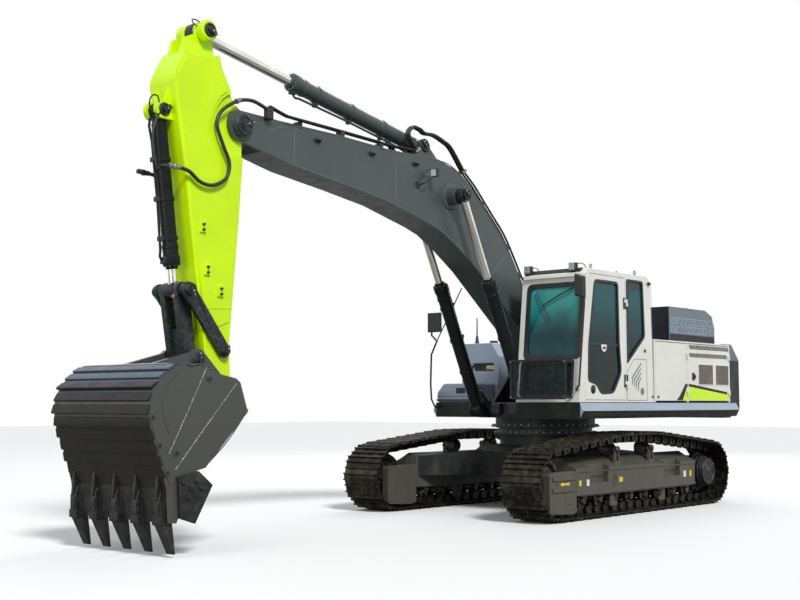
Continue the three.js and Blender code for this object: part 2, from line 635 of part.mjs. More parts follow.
function makeTanks() {
  const corner = (inner) => [
    [-deck.half, deck.top + seat], [-deck.half, fuelTank.top], [inner - 135, fuelTank.top], [inner, fuelTank.top - 200],
    [inner - 40, deck.top + seat],
  ];
  const recess = box(fuelTank.front - 60, fuelTank.front + reach, -1290, -905, 1912, 2030);
  piece('fuel_tank', cut(front(corner(fuelTank.inner), fuelTank.rear, fuelTank.front), recess), 'bluePaint');
  const hydraulicFront = fuelTank.rear - hydraulicTank.gap;
  piece('hydraulic_tank', front(corner(fuelTank.inner), hydraulicFront - hydraulicTank.length, hydraulicFront),
    'whitePaint');
  const boxOutline = [
    [fuelTank.front + seat, deck.top + seat], [toolbox.front, deck.top + seat], [toolbox.front, toolbox.top - 130],
    [toolbox.front - 150, toolbox.top], [fuelTank.front + seat, toolbox.top],
  ];
  piece('toolbox', side(boxOutline, -deck.half, toolbox.inner), 'bluePaint');
  const motor = join(
    drumZ([swingMotor.x, 0], swingMotor.radius, deck.top + seat, deck.top + swingMotor.height * 0.55, 18),
    drumZ([swingMotor.x, 0], swingMotor.radius * 0.7, deck.top + seat, deck.top + swingMotor.height, 18));
  piece('swing_motor', motor, 'darkPaint');
}
makeTanks();

// ---------------------------------------------------------------- cab

const cabFloor = cab.bottom;
const doorOutline = [
  [cabDoor.rear, cabDoor.bottom], [cabDoor.frontBottom, cabDoor.bottom], [cabDoor.frontTop, cabDoor.top],
  [cabDoor.rear, cabDoor.top],
];
const doorWindow = [
  [1040, 3012], [490, 3015], [470, 2218], [430, 1845], [620, 1594], [919, 1578], [1030, 1705], [1215, 1735], [1195, 2189],
];
const quarterWindow = [[245, 3075], [-160, 3075], [-200, 2345], [245, 1995]];
const rightWindow = [[1140, 3020], [-250, 3020], [-300, 2050], [1235, 1880]];
const cabHingeAxis = [cabDoor.rear, cab.left + 30];

function cabHinge() {
  const tab = (x0, x1) => (z0, z1) => box(x0, x1, cab.left - 4, cabHingeAxis[1], z0, z1);
  return uprightHinge(cabHingeAxis, [cabDoor.bottom + 200, cabDoor.top - 330], tab(cabDoor.rear, cabDoor.rear + 36),
    tab(cabDoor.rear - 36, cabDoor.rear));
}
const cabHingeParts = cabHinge();

function makeCab() {
  const profile = [
    [cab.rearBottom, cabFloor], [cab.frontBottom, cabFloor], [cab.frontTop + 8, cab.top - cab.roofEdge],
    [cab.frontTop - 70, cab.top], [cab.rearTop + 90, cab.top], [cab.rearTop, cab.top - cab.roofEdge],
  ];
  const inner = inset(profile, cab.wall);
  const shell = cut(side(profile, cab.right, cab.left), side(inner, cab.right + cab.wall, cab.left - cab.wall));
  const throughFront = (area) => box(1000, cab.frontBottom + reach * 5, ...area.y, ...area.z);
  const throughRear = box(cab.rearBottom - reach, cab.rearTop + cab.wall + reach * 3, ...rearWindowArea.y, ...rearWindowArea.z);
  const doorway = side(inset(doorOutline, -doorGap), cab.left - cab.wall - 2, cab.left + reach);
  const quarter = side(quarterWindow, cab.left - cab.wall - reach, cab.left + reach);
  const right = side(rightWindow, cab.right - reach, cab.right + cab.wall + reach);
  piece('cab_shell', cut(shell, throughFront(windshieldArea), throughFront(lowerWindowArea), throughRear, doorway,
    quarter, right).add(cabHingeParts.post), 'whitePaint');
  const door = cut(side(doorOutline, cab.left - cab.wall, cab.left),
    side(doorWindow, cab.left - cab.wall - reach, cab.left + reach));
  piece('cab_door', join(door, cabHingeParts.leaf), 'whitePaint');
}
makeCab();

function makeGlass() {
  const slope = (cab.frontTop + 8 - cab.frontBottom) / (cab.top - cab.roofEdge - cabFloor);
  const frontAt = (z) => cab.frontBottom + slope * (z - cabFloor);
  const frontPane = (area) => {
    const [z0, z1] = [area.z[0] + glass.play, area.z[1] - glass.play];
    const outline = [
      [frontAt(z0) - glass.inset, z0], [frontAt(z1) - glass.inset, z1],
      [frontAt(z1) - glass.inset - glass.thickness, z1], [frontAt(z0) - glass.inset - glass.thickness, z0],
    ];
    return side(outline, area.y[0] + glass.play, area.y[1] - glass.play);
  };
  const sidePane = (outline, faceY, s) => side(inset(outline, glass.play), faceY - s * glass.inset,
    faceY - s * (glass.inset + glass.thickness));
  piece('windshield', frontPane(windshieldArea), 'tint');
  piece('lower_windshield', frontPane(lowerWindowArea), 'tint');
  piece('door_glass', side(doorWindow, cab.left - glass.inset, cab.left - glass.inset - glass.thickness), 'tint');
  piece('quarter_glass', sidePane(quarterWindow, cab.left, 1), 'tint');
  piece('right_glass', sidePane(rightWindow, cab.right, -1), 'tint');
  const rearSlope = (cab.rearTop - cab.rearBottom) / (cab.top - cab.roofEdge - cabFloor);
  const rearAt = (z) => cab.rearBottom + rearSlope * (z - cabFloor) + glass.inset;
  const [z0, z1] = [rearWindowArea.z[0] + glass.play, rearWindowArea.z[1] - glass.play];
  piece('rear_glass', side([
    [rearAt(z0), z0], [rearAt(z1), z1], [rearAt(z1) + glass.thickness, z1], [rearAt(z0) + glass.thickness, z0],
  ], rearWindowArea.y[0] + glass.play, rearWindowArea.y[1] - glass.play), 'tint');
}
makeGlass();

function makeCabInside() {
  const floorZ = cabFloor + cab.wall + seat;
  const middle = (cab.left + cab.right) / 2;
  const consoleTop = floorZ + 560;
  const stand = box(40, 520, middle - 210, middle + 210, floorZ, floorZ + 300);
  const consoles = [-1, 1].map((s) => box(20, 620, middle + s * 270, middle + s * 400, floorZ + 200, consoleTop));
  const bridge = box(60, 420, middle - 400, middle + 400, floorZ + 200, floorZ + 300);
  piece('consoles', join(stand, consoles, bridge), 'plastic');
  const cushion = box(20, 560, middle - 255, middle + 255, floorZ + 300 + seat, floorZ + 450);
  const back = side([[0, floorZ + 301], [170, floorZ + 301], [60, floorZ + 1010], [-70, floorZ + 1010]],
    middle - 245, middle + 245);
  const headrest = side([[-55, floorZ + 1000], [45, floorZ + 1000], [30, floorZ + 1220], [-75, floorZ + 1220]],
    middle - 135, middle + 135);
  piece('operator_seat', join(cushion, back, headrest), 'fabric');
}
makeCabInside();

function makeGuard() {
  const [y0, y1] = guard.y;
  const [z0, z1] = guard.z;
  const x1 = guard.x + guard.thickness;
  const frameSolid = cut(box(guard.x, x1, y0, y1, z0, z1),
    box(guard.x - reach, x1 + reach, y0 + guard.border, y1 - guard.border, z0 + guard.border, z1 - guard.border));
  const bars = Array.from({ length: guard.bars }, (_, i) => {
    const z = z0 + ((z1 - z0) * (i + 1)) / (guard.bars + 1);
    return box(guard.x + 8, x1 - 8, y0 + 10, y1 - 10, z - guard.barHeight / 2, z + guard.barHeight / 2);
  });
  const uprights = [0.33, 0.67].map((t) => {
    const y = y0 + (y1 - y0) * t;
    return box(guard.x + 8, x1 - 8, y - 8, y + 8, z0 + 10, z1 - 10);
  });
  // arms reach back to the cab's front face
  const slope = (cab.frontTop + 8 - cab.frontBottom) / (cab.top - cab.roofEdge - cabFloor);
  const arms = [z0 + 12, z1 - 42].flatMap((z) => [y0, y1 - guard.border].map((y) => {
    const faceLow = cab.frontBottom + slope * (z - cabFloor) + seat;
    const faceHigh = cab.frontBottom + slope * (z + 30 - cabFloor) + seat;
    return side([[faceLow, z], [guard.x + 5, z], [guard.x + 5, z + 30], [faceHigh, z + 30]], y, y + guard.border);
  }));
  piece('front_guard', join(frameSolid, bars, uprights, arms), 'frameBlack');
}
makeGuard();

function makeMirrors() {
  const slope = (cab.frontTop + 8 - cab.frontBottom) / (cab.top - cab.roofEdge - cabFloor);
  const face = (z) => cab.frontBottom + slope * (z - cabFloor) + seat;
  const rail = bent([
    [face(1610) - 2, 1458, 1610], [face(1610) + 55, 1470, 1610], [face(1670) + 55, 1512, 1670], [face(2700) + 60, 1530, 2700],
    [face(2960) + 60, 1520, 2960], [face(2960) - 2, 1462, 2960],
  ], 14);
  const trimmed = cut(rail, box(800, face(1590), 1400, 1500, 1560, 1660),
    side([[800, 2900], [face(2900), 2900], [face(3040), 3040], [800, 3040]], 1400, 1500));
  const housing = hullOf([[0, 0], [40, 22]].flatMap(([dx, shrink]) => [
    [1500 + dx, 1478 + shrink, 2790 + shrink], [1500 + dx, 1640 - shrink, 2755 + shrink],
    [1500 + dx, 1640 - shrink, 3020 - shrink], [1500 + dx, 1482 + shrink, 3080 - shrink],
  ]));
  const stem = bent([[face(2880) + 60, 1526, 2880], [1510, 1560, 2880]], 14);
  piece('mirror_left', join(trimmed, housing, stem), 'plastic');
  const poleX = deck.rightFront + 90;
  const pole = bent([
    [deck.rightFront + seat - 2, -1440, 1390], [poleX, -1440, 1390], [poleX, -1505, 1500], [poleX, -1520, 1730],
    [poleX, -1505, 2150], [poleX, -1400, 2345], [poleX, -1499, 2430], [poleX, -1489, 2655],
  ], 14);
  const poleCut = cut(pole, box(deck.rightFront - 100, deck.rightFront + seat, -1480, -1400, 1350, 1430));
  const wand = bent([[poleX, -1400, 2345], [poleX, -940, 3090]], 9);
  const glassBox = box(poleX - 25, poleX - 25 + mirrorPlate, -1562, -1331, 2476, 2758);
  piece('mirror_right', join(poleCut, wand, glassBox), 'plastic');
}
makeMirrors();

// ---------------------------------------------------------------- front equipment

const boomTop = [[0.9215, 363], [0.8023, 669], [0.6551, 1014], [0.5225, 1376], [0.4605, 1438], [0.3834, 1330],
  [0.2602, 1040], [0.1739, 700]];
const boomBottom = [[0.3278, 425], [0.4015, 505], [0.4604, 540], [0.5004, 516], [0.6244, 392], [0.7364, 213],
  [0.8629, -4]];
const boomFootBoss = bracketInner - pinGap;

function makeBoom() {
  const outline = [
    ...arc(boomFoot, 175, 265, 140, 6),
    ...boomTop.map(([f, v]) => boomFrame(f * boomLength, v)).reverse(),
    ...arc(armPin, 168, 75, -100, 8),
    ...boomBottom.map(([f, v]) => boomFrame(f * boomLength, v)).reverse(),
  ];
  const slab = side(outline, -boomHalf, boomHalf);
  const slot = drumY(armPin, forkDepth, -(boomHalf - forkPlate), boomHalf - forkPlate, 24);
  const foot = drumY(boomFoot, 150, -boomFootBoss, boomFootBoss, 20);
  const cylinderBoss = drumY(boomRodPin, 112, -(boomCylinderY - cylinderEyeHalf - pinGap),
    boomCylinderY - cylinderEyeHalf - pinGap, 18);
  const tipCaps = [-1, 1].map((s) => drumY(armPin, 120, s * (boomHalf - 5), s * (boomHalf + 55), 18));
  const [px, pz] = armCylinderPin;
  const lugOutline = [
    boomFrame(0.5225 * boomLength - 260, 1370), ...arc([px, pz], 100, 190, -12, 6),
    boomFrame(0.5225 * boomLength + 420, 1225),
  ];
  const lugs = [-1, 1].map((s) => side(lugOutline, s * (rodEyeHalf + pinGap), s * (rodEyeHalf + pinGap + earPlate)));
  piece('boom', join(cut(slab, slot), foot, cylinderBoss, tipCaps, lugs), 'greyPaint');
}
makeBoom();

// A hydraulic cylinder between two pins. The barrel is a thick tube, open at the gland, round the rod.
function makeCylinder({ names, from, to, y, eyeHalf, barrel, bore, rodLength, gland, finish, capOut }) {
  const clear = 0.8;
  const end = 120;
  const tube = turned([
    [0, 0], [barrel * 0.8, 0], [barrel, 60], [barrel, gland - 120], [barrel + 14, gland - 118], [barrel + 14, gland],
    [bore + clear, gland], [bore + clear, end], [0, end],
  ], from, to, y, 16);
  const eye = drumY(from, barrel * 0.95, y - eyeHalf, y + eyeHalf, 16);
  const trimmed = cut(join(tube, eye), [-1, 1].map((s) => drumY(from, barrel * 1.9, y + s * eyeHalf, y + s * (eyeHalf + 200), 16)));
  piece(names[0], trimmed, finish);
  const full = distance(from, to);
  const rod = turned([[0, full - rodLength], [bore, full - rodLength], [bore, full - 20], [0, full - 20]], from, to, y, 16);
  const head = drumY(to, bore * 1.9, y - eyeHalf, y + eyeHalf, 16);
  const cap = capOut ? [drumY(to, bore * 1.5, y + capOut * (eyeHalf - 5), y + capOut * (eyeHalf + 22), 16)] : [];
  piece(names[1], join(rod, head, ...cap), 'chrome');
}

for (const [word, s] of [['left', 1], ['right', -1]]) {
  makeCylinder({ names: [`boom_cylinder_${word}`, `boom_rod_${word}`], from: boomCylinderBase, to: boomRodPin,
    y: s * boomCylinderY, eyeHalf: cylinderEyeHalf, barrel: 84, bore: 50, rodLength: 1860, gland: 1874,
    finish: 'darkPaint', capOut: s });
}
makeCylinder({ names: ['arm_cylinder', 'arm_rod'], from: armCylinderPin, to: armRodPin, y: 0, eyeHalf: rodEyeHalf,
  barrel: 92, bore: 58, rodLength: 2240, gland: 2310, finish: 'greyPaint', capOut: 0 });
makeCylinder({ names: ['bucket_cylinder', 'bucket_rod'], from: bucketCylinderPin, to: linkTop, y: 0, eyeHalf: 60,
  barrel: 78, bore: 48, rodLength: 1680, gland: 1600, finish: 'darkPaint', capOut: 0 });

function makeArm() {
  const at = (points) => points.map(([u, v]) => armFrame(u, v));
  const tail = armLength - 2890; // keeps the bucket end's shape when the arm is longer
  const outline = [
    ...at([[-604, 789], [-470, 851], [-301, 920], [-223, 921], [716, 664], [1140, 572], [2384 + tail, 267]]),
    ...arc(bucketPin, 150, 20, -190, 8),
    ...at([[2342 + tail, -71], [1012, -81], [531, -77], [295, -74]]),
    ...arc(armPin, 165, 250, 120, 6),
    ...at([[-226, 85], [-554, 303], [-660, 340]]),
  ];
  const slab = side(outline, -armHalf, armHalf);
  const narrow = boomHalf - forkPlate - 5;
  const relief = [-1, 1].map((s) => drumY(armPin, forkReach + 15, s * narrow, s * (armHalf + reach), 24));
  const hub = drumY(armPin, 150, -(boomHalf - forkPlate - pinGap), boomHalf - forkPlate - pinGap, 18);
  const rodEar = at([[-560, 330], [-903, 433]]).concat(arc(armRodPin, 112, 160, -20, 6)).concat(at([[-761, 760],
    [-560, 800]]));
  const rodEars = [-1, 1].map((s) => side(rodEar, s * (rodEyeHalf + pinGap), s * (rodEyeHalf + pinGap + earPlate)));
  const cylinderEar = at([[-301, 905], [-60, 930]]).concat(arc(bucketCylinderPin, 105, 70, -60, 6)).concat(at([[140, 800],
    [140, 740], [-200, 800]]));
  const half = 60 + pinGap;
  const cylinderEars = [-1, 1].map((s) => side(cylinderEar, s * half, s * (half + earPlate)));
  const cylinderSlot = drumY(bucketCylinderPin, 130, -half, half, 20);
  const guideBoss = drumY(guideFoot, 70, -armHalf, armHalf, 16);
  piece('arm', cut(join(cut(slab, relief), hub, rodEars, cylinderEars, guideBoss), cylinderSlot), 'limePaint');
}
makeArm();

const guideInner = armHalf + 10;
const linkArm = [66, 140];

function makeGuideLink(name, s) {
  const plate = side(capsule(guideFoot, linkTop, 72, 78), s * guideInner, s * (guideInner + guidePlate));
  const footBoss = drumY(guideFoot, 62, s * (armHalf + pinGap), s * (guideInner + guidePlate + 12), 14);
  const topBoss = drumY(linkTop, 66, s * (linkArm[1] + 6), s * (guideInner + guidePlate + 25), 14);
  piece(name, join(plate, footBoss, topBoss), 'darkPaint');
}
makeGuideLink('guide_link_left', 1);
makeGuideLink('guide_link_right', -1);

function makeBucketLink() {
  const arms = [-1, 1].map((s) => side(capsule(linkFoot, linkTop, 75, 82), s * linkArm[0], s * linkArm[1]));
  const foot = drumY(linkFoot, 72, -armHalf, armHalf, 16);
  const frame = memberFrame(linkFoot, angleOf(linkFoot, linkTop));
  const web = side([frame(60, 45), frame(330, 45), frame(330, -45), frame(60, -45)], -linkArm[0] - 5, linkArm[0] + 5);
  piece('bucket_link', join(arms, foot, web), 'darkPaint');
}
makeBucketLink();

const bucketBack = [[220, 144], [278, 186], [506, 253], [673, 306], [961, 341], [1100, 300], [1201, 225], [1300, 129],
  [1364, -20], [1378, -114], [1359, -261], [1306, -408], [1217, -639], [1128, -845]];
const bucketLip = [1105, -1168];
const mouthTop = [119, -146];

function makeBucket() {
  const back = [mouthTop, ...bucketBack].map(bucketAt);
  const wrapper = side(strip(back, bucketWall), -bucketHalf + bucketWall / 2, bucketHalf - bucketWall / 2);
  const sidePlate = [...back, bucketAt(bucketLip), bucketAt([1000, -1175]), bucketAt([764, -698]), bucketAt([656, -674])];
  const sides = [-1, 1].map((s) => side(sidePlate, s * (bucketHalf - bucketWall), s * bucketHalf));
  const ear = [
    ...arc(bucketPin, 150, 250, 120, 6), ...arc(linkFoot, 118, 130, 40, 4), bucketAt([905, 330]), bucketAt([640, 270]),
    bucketAt([260, 120]), bucketAt([140, -140]),
  ];
  const ears = [-1, 1].map((s) => join(
    side(ear, s * (armHalf + pinGap), s * (armHalf + pinGap + bucketEar)),
    drumY(bucketPin, 105, s * (armHalf + bucketEar - 5), s * (armHalf + bucketEar + 28), 16),
    drumY(linkFoot, 78, s * (armHalf + bucketEar - 5), s * (armHalf + bucketEar + 24), 14)));
  piece('bucket', join(wrapper, sides, ears), 'greyPaint');

  const edgeHalf = bucketHalf - bucketWall - seat;
  const lipTop = [bucketBack[bucketBack.length - 1][0], bucketBack[bucketBack.length - 1][1] - 12];
  const edge = side([lipTop, bucketLip, [bucketLip[0] - 45, bucketLip[1] - 4], [lipTop[0] - 45, lipTop[1] + 2]].map(bucketAt),
    -edgeHalf, edgeHalf);
  const tooth = [[1165, -960], [1160, -1165], [1000, -1465], [975, -1470], [1018, -1165], [1040, -1010]].map(bucketAt);
  const spread = bucketHalf - bucketWall - 62;
  const teeth = Array.from({ length: toothCount }, (_, i) => {
    const y = -spread + (2 * spread * i) / (toothCount - 1);
    return side(tooth, y - 52, y + 52);
  });
  piece('bucket_teeth', join(edge, teeth), 'darkPaint');
}
makeBucket();

function makeSideCutter(name, s) {
  const outline = [[764, -698], [590, -837], [800, -1190], [985, -1130], [1009, -742]].map(bucketAt);
  piece(name, side(outline, s * (bucketHalf + seat), s * (bucketHalf + 36)), 'darkPaint');
}
makeSideCutter('side_cutter_left', 1);
makeSideCutter('side_cutter_right', -1);

// ---------------------------------------------------------------- origin

const bounds = new THREE.Box3().setFromObject(machine, true);
const middle = bounds.getCenter(new THREE.Vector3());
machine.position.set(-middle.x, -middle.y, -bounds.min.z);
machine.updateMatrixWorld(true);

export default machine;
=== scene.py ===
import bpy
import bmesh
import json
import math
from mathutils import Vector, Matrix, Euler
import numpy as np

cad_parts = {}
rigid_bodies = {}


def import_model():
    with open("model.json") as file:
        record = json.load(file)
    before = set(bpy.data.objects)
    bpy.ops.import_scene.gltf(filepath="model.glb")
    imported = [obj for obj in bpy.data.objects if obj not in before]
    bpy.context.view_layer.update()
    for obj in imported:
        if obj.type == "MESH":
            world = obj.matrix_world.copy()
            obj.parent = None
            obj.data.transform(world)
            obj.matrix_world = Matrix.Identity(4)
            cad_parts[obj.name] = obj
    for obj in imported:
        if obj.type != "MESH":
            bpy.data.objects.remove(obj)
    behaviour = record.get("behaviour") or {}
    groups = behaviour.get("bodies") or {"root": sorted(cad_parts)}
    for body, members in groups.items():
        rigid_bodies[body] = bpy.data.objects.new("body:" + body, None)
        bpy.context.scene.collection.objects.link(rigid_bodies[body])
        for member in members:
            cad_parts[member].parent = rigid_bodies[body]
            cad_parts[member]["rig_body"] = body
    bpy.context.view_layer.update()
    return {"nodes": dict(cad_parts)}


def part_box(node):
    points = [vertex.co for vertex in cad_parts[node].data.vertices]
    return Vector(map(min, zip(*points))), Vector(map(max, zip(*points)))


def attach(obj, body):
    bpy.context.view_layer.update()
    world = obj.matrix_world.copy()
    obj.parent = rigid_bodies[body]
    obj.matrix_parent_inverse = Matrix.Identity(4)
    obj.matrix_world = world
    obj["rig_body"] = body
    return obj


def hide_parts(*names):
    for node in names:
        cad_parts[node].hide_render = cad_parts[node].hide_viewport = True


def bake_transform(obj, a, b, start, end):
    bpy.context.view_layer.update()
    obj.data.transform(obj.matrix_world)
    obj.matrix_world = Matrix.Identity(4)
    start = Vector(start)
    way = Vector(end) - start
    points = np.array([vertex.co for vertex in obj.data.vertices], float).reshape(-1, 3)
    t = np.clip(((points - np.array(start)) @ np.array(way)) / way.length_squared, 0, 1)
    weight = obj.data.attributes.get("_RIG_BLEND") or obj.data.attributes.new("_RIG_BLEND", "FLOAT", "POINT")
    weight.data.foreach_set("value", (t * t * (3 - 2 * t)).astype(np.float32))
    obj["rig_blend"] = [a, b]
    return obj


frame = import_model()
scene = bpy.context.scene
nodes = frame["nodes"]
print("stage: frame loaded,", len(nodes), "nodes")

ringLow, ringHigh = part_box("slew_ring")
swingX, swingY = (ringLow.x + ringHigh.x) / 2, (ringLow.y + ringHigh.y) / 2


bothSides = (("left", 1), ("right", -1))
under, upper = "undercarriage", "upper_structure"


def at(x, y, z):  # metres from the swing axis at ground level
    return Vector((x + swingX, y + swingY, z))


def memberFrame(foot, degrees):  # along and across a member that starts at a pin
    c, s = math.cos(math.radians(degrees)), math.sin(math.radians(degrees))
    return lambda u, v: (foot[0] + u * c - v * s, foot[1] + u * s + v * c)


# pins of the working equipment, X and Z
front = {"boomLength": 6.38, "boomAngle": 21.9, "armLength": 2.89, "armAngle": -85.33,
    "guideLength": 0.772, "linkLength": 0.72}
boomFoot = (0.06, 2.0)
boomAt = memberFrame(boomFoot, front["boomAngle"])
armPin = boomAt(front["boomLength"], 0)
boomRodPin = boomAt(0.4613 * front["boomLength"], 1.048)
armCylinderPin = boomAt(0.5548 * front["boomLength"], 1.46)
armAt = memberFrame(armPin, front["armAngle"])
bucketPin = armAt(front["armLength"], 0)
armRodPin = armAt(-0.89, 0.524)
bucketCylinderPin = armAt(0.057, 0.939)
guideFoot = armAt(2.41, 0.024)
linkFoot = (bucketPin[0] + 0.348, bucketPin[1] + 0.375)
boomCylinderBase = (1.04, 1.36)


def meet(a, radiusA, b, radiusB):
    gap = math.dist(a, b)
    along = (radiusA ** 2 - radiusB ** 2 + gap ** 2) / (2 * gap)
    across = math.sqrt(radiusA ** 2 - along ** 2)
    return memberFrame(a, math.degrees(math.atan2(b[1] - a[1], b[0] - a[0])))(along, across)


linkTop = meet(guideFoot, front["guideLength"], linkFoot, front["linkLength"])


def boomLocal(f, v):
    return boomAt(f * front["boomLength"], v)


view = {"place": (14.654, 9.896, 1.436), "heading": -139.18, "rise": 4.56, "lens": 55.52,
    "shiftX": 0.003, "shiftY": 0.0066}
cameraData = bpy.data.cameras.new("camera")
camera = bpy.data.objects.new("camera", cameraData)
scene.collection.objects.link(camera)
cameraData.lens, cameraData.sensor_width = view["lens"], 36
cameraData.shift_x, cameraData.shift_y = view["shiftX"], view["shiftY"]
cameraData.clip_end = 400
camera.location = at(*view["place"])
heading, rise = math.radians(view["heading"]), math.radians(view["rise"])
lookAlong = Vector((math.cos(rise) * math.cos(heading), math.cos(rise) * math.sin(heading), math.sin(rise)))
camera.rotation_euler = lookAlong.to_track_quat("-Z", "Y").to_euler()
scene.camera = camera


def linear(r, g, b):
    def one(c):
        c /= 255
        return c / 12.92 if c <= 0.04045 else ((c + 0.055) / 1.055) ** 2.4
    return (one(r), one(g), one(b), 1)


def newFinish(name):
    finish = bpy.data.materials.new(name)
    finish.use_nodes = True
    tree = finish.node_tree
    return finish, tree, tree.nodes["Principled BSDF"]


def link(tree, source, target):
    tree.links.new(source, target)


def feed(tree, socket, value):  # a socket takes another node's output or a plain value
    if isinstance(value, bpy.types.NodeSocket):
        link(tree, value, socket)
    else:
        socket.default_value = value


def added(tree, kind, inputs=None, **settings):
    node = tree.nodes.new(kind)
    for label, value in settings.items():
        setattr(node, label, value)
    for label, value in (inputs or {}).items():
        feed(tree, node.inputs[label], value)
    return node


def noiseOn(tree, scale, detail, stretch=(1, 1, 1), rough=0.55):
    coords = added(tree, "ShaderNodeTexCoord")
    mapping = added(tree, "ShaderNodeMapping", {"Scale": stretch, "Vector": coords.outputs["Object"]})
    return added(tree, "ShaderNodeTexNoise", {"Scale": scale, "Detail": detail, "Roughness": rough,
        "Vector": mapping.outputs["Vector"]}).outputs["Fac"]


def ranged(tree, value, low, high, outLow=0.0, outHigh=1.0):
    return added(tree, "ShaderNodeMapRange", {"From Min": low, "From Max": high, "To Min": outLow,
        "To Max": outHigh, "Value": value}, interpolation_type="SMOOTHSTEP").outputs["Result"]


def times(tree, a, b):
    return added(tree, "ShaderNodeMath", {0: a, 1: b}, operation="MULTIPLY").outputs[0]


def mixed(tree, factor, a, b):
    return added(tree, "ShaderNodeMix", {"Factor": factor, 6: a, 7: b}, data_type="RGBA").outputs[2]


def heightOn(tree):
    coords = added(tree, "ShaderNodeTexCoord")
    return added(tree, "ShaderNodeSeparateXYZ", {0: coords.outputs["Object"]}).outputs["Z"]


def roughened(tree, shader, strength, depth, pattern):
    link(tree, added(tree, "ShaderNodeBump", {"Strength": strength, "Distance": depth,
        "Height": pattern}).outputs["Normal"], shader.inputs["Normal"])


def shade(colour, by):
    return tuple(min(1, c * by) for c in colour[:3]) + (1,)


def paint(name, colour, rough=0.38, dust=0.25, dustTop=2.6, scuffs=0.15, coat=0.25, grain=0.04,
    dustColour=(150, 140, 122), gloss=0.3):
    # sprayed paint: cloudy tone, dust low down, fine scuffs that show the primer, a little orange peel
    finish, tree, shader = newFinish(name)
    cloud = ranged(tree, noiseOn(tree, 1.3, 4), 0.35, 0.7)
    colourOut = mixed(tree, cloud, shade(colour, 0.94), shade(colour, 1.04))
    low = ranged(tree, heightOn(tree), dustTop, dustTop * 0.15)
    patches = ranged(tree, noiseOn(tree, 4.5, 8, (1, 1, 0.45), 0.65), 0.42, 0.78)
    dusty = times(tree, times(tree, low, patches), dust)
    colourOut = mixed(tree, dusty, colourOut, linear(*dustColour))
    marks = ranged(tree, noiseOn(tree, 60, 3, (1, 1, 0.16)), 0.7, 0.8)
    where = ranged(tree, noiseOn(tree, 2.2, 5), 0.5, 0.75)
    scuffed = times(tree, times(tree, marks, where), scuffs)
    colourOut = mixed(tree, scuffed, colourOut, linear(150, 152, 150))
    link(tree, colourOut, shader.inputs["Base Color"])
    uneven = ranged(tree, noiseOn(tree, 7, 6), 0.3, 0.75, rough * 0.85, min(1, rough * 1.3 + dust * 0.2))
    link(tree, uneven, shader.inputs["Roughness"])
    shader.inputs["Coat Weight"].default_value = coat
    shader.inputs["Coat Roughness"].default_value = 0.15
    shader.inputs["Specular IOR Level"].default_value = gloss
    roughened(tree, shader, grain, 0.002, noiseOn(tree, 130, 3))
    return finish


def metal(name, dark, bright, rough=0.42, metallic=0.75, scale=9, rust=None, rustAmount=0.4, grain=0.25):
    # bare or worn metal: dark scale, rubbed bright patches and, where asked, rust
    finish, tree, shader = newFinish(name)
    rubbed = ranged(tree, noiseOn(tree, scale, 8, rough=0.68), 0.42, 0.72)
    colourOut = mixed(tree, rubbed, dark, bright)
    if rust:
        patches = times(tree, ranged(tree, noiseOn(tree, scale * 0.4, 6), 0.48, 0.72), rustAmount)
        colourOut = mixed(tree, patches, colourOut, rust)
    link(tree, colourOut, shader.inputs["Base Color"])
    shader.inputs["Metallic"].default_value = metallic
    link(tree, ranged(tree, noiseOn(tree, scale * 2.2, 5), 0.3, 0.75, rough * 0.8, min(1, rough * 1.35)),
        shader.inputs["Roughness"])
    roughened(tree, shader, grain, 0.003, noiseOn(tree, scale * 8, 5))
    return finish


def moulded(name, colour, rough=0.55, grain=0.2, scale=160):
    finish, tree, shader = newFinish(name)
    tone = ranged(tree, noiseOn(tree, 5, 5), 0.3, 0.75)
    link(tree, mixed(tree, tone, shade(colour, 0.85), shade(colour, 1.15)), shader.inputs["Base Color"])
    link(tree, ranged(tree, noiseOn(tree, 11, 4), 0.3, 0.7, rough * 0.85, min(1, rough * 1.2)),
        shader.inputs["Roughness"])
    roughened(tree, shader, grain, 0.001, noiseOn(tree, scale, 3))
    return finish


def tinted(name, low, high, lowZ, highZ, clear=0.42, sheen=0.5):
    # blue-green glass, darker towards the floor of the cab: painted shade low down
    finish, tree, shader = newFinish(name)
    tone = ranged(tree, heightOn(tree), lowZ, highZ)
    haze = ranged(tree, noiseOn(tree, 2.4, 5, (1, 1, 1.6)), 0.35, 0.75, 0, 0.12)
    colourOut = mixed(tree, haze, mixed(tree, tone, low, high), shade(high, 1.25))
    link(tree, colourOut, shader.inputs["Base Color"])
    shader.inputs["Roughness"].default_value = 0.04
    shader.inputs["Coat Weight"].default_value = sheen
    shader.inputs["Coat Roughness"].default_value = 0.02
    shader.inputs["Specular IOR Level"].default_value = 0.25
    shader.inputs["Alpha"].default_value = clear
    return finish


greyPaint = paint("boomGreyPaint", linear(72, 80, 79), dust=0.12, scuffs=0.2, rough=0.36, coat=0.12)
bucketPaint = paint("bucketGreyPaint", linear(66, 68, 64), dust=0.5, dustTop=1.9, scuffs=0.55, rough=0.34,
    coat=0.1, dustColour=(74, 58, 44), grain=0.12, gloss=0.5)
darkPaintAndShade = paint("darkGreyPaint", linear(24, 28, 29), dust=0.15, scuffs=0.15, rough=0.34, coat=0.06,
    gloss=0.15)
hoodPaintAndHighlight = paint("hoodGreyPaint", linear(84, 92, 98), dust=0.1, scuffs=0.12, rough=0.4, coat=0.1)
blackPaint = paint("frameBlackPaint", linear(26, 30, 32), dust=0.22, dustTop=1.5, scuffs=0.2, rough=0.42,
    coat=0.08)
framePaint = paint("trackFramePaint", linear(82, 81, 73), dust=0.4, dustTop=1.3, scuffs=0.4, rough=0.4,
    coat=0.05, grain=0.15, dustColour=(104, 98, 82))
limePaint = paint("limePaint", linear(206, 246, 0), dust=0.04, scuffs=0.05, rough=0.3, coat=0.2)
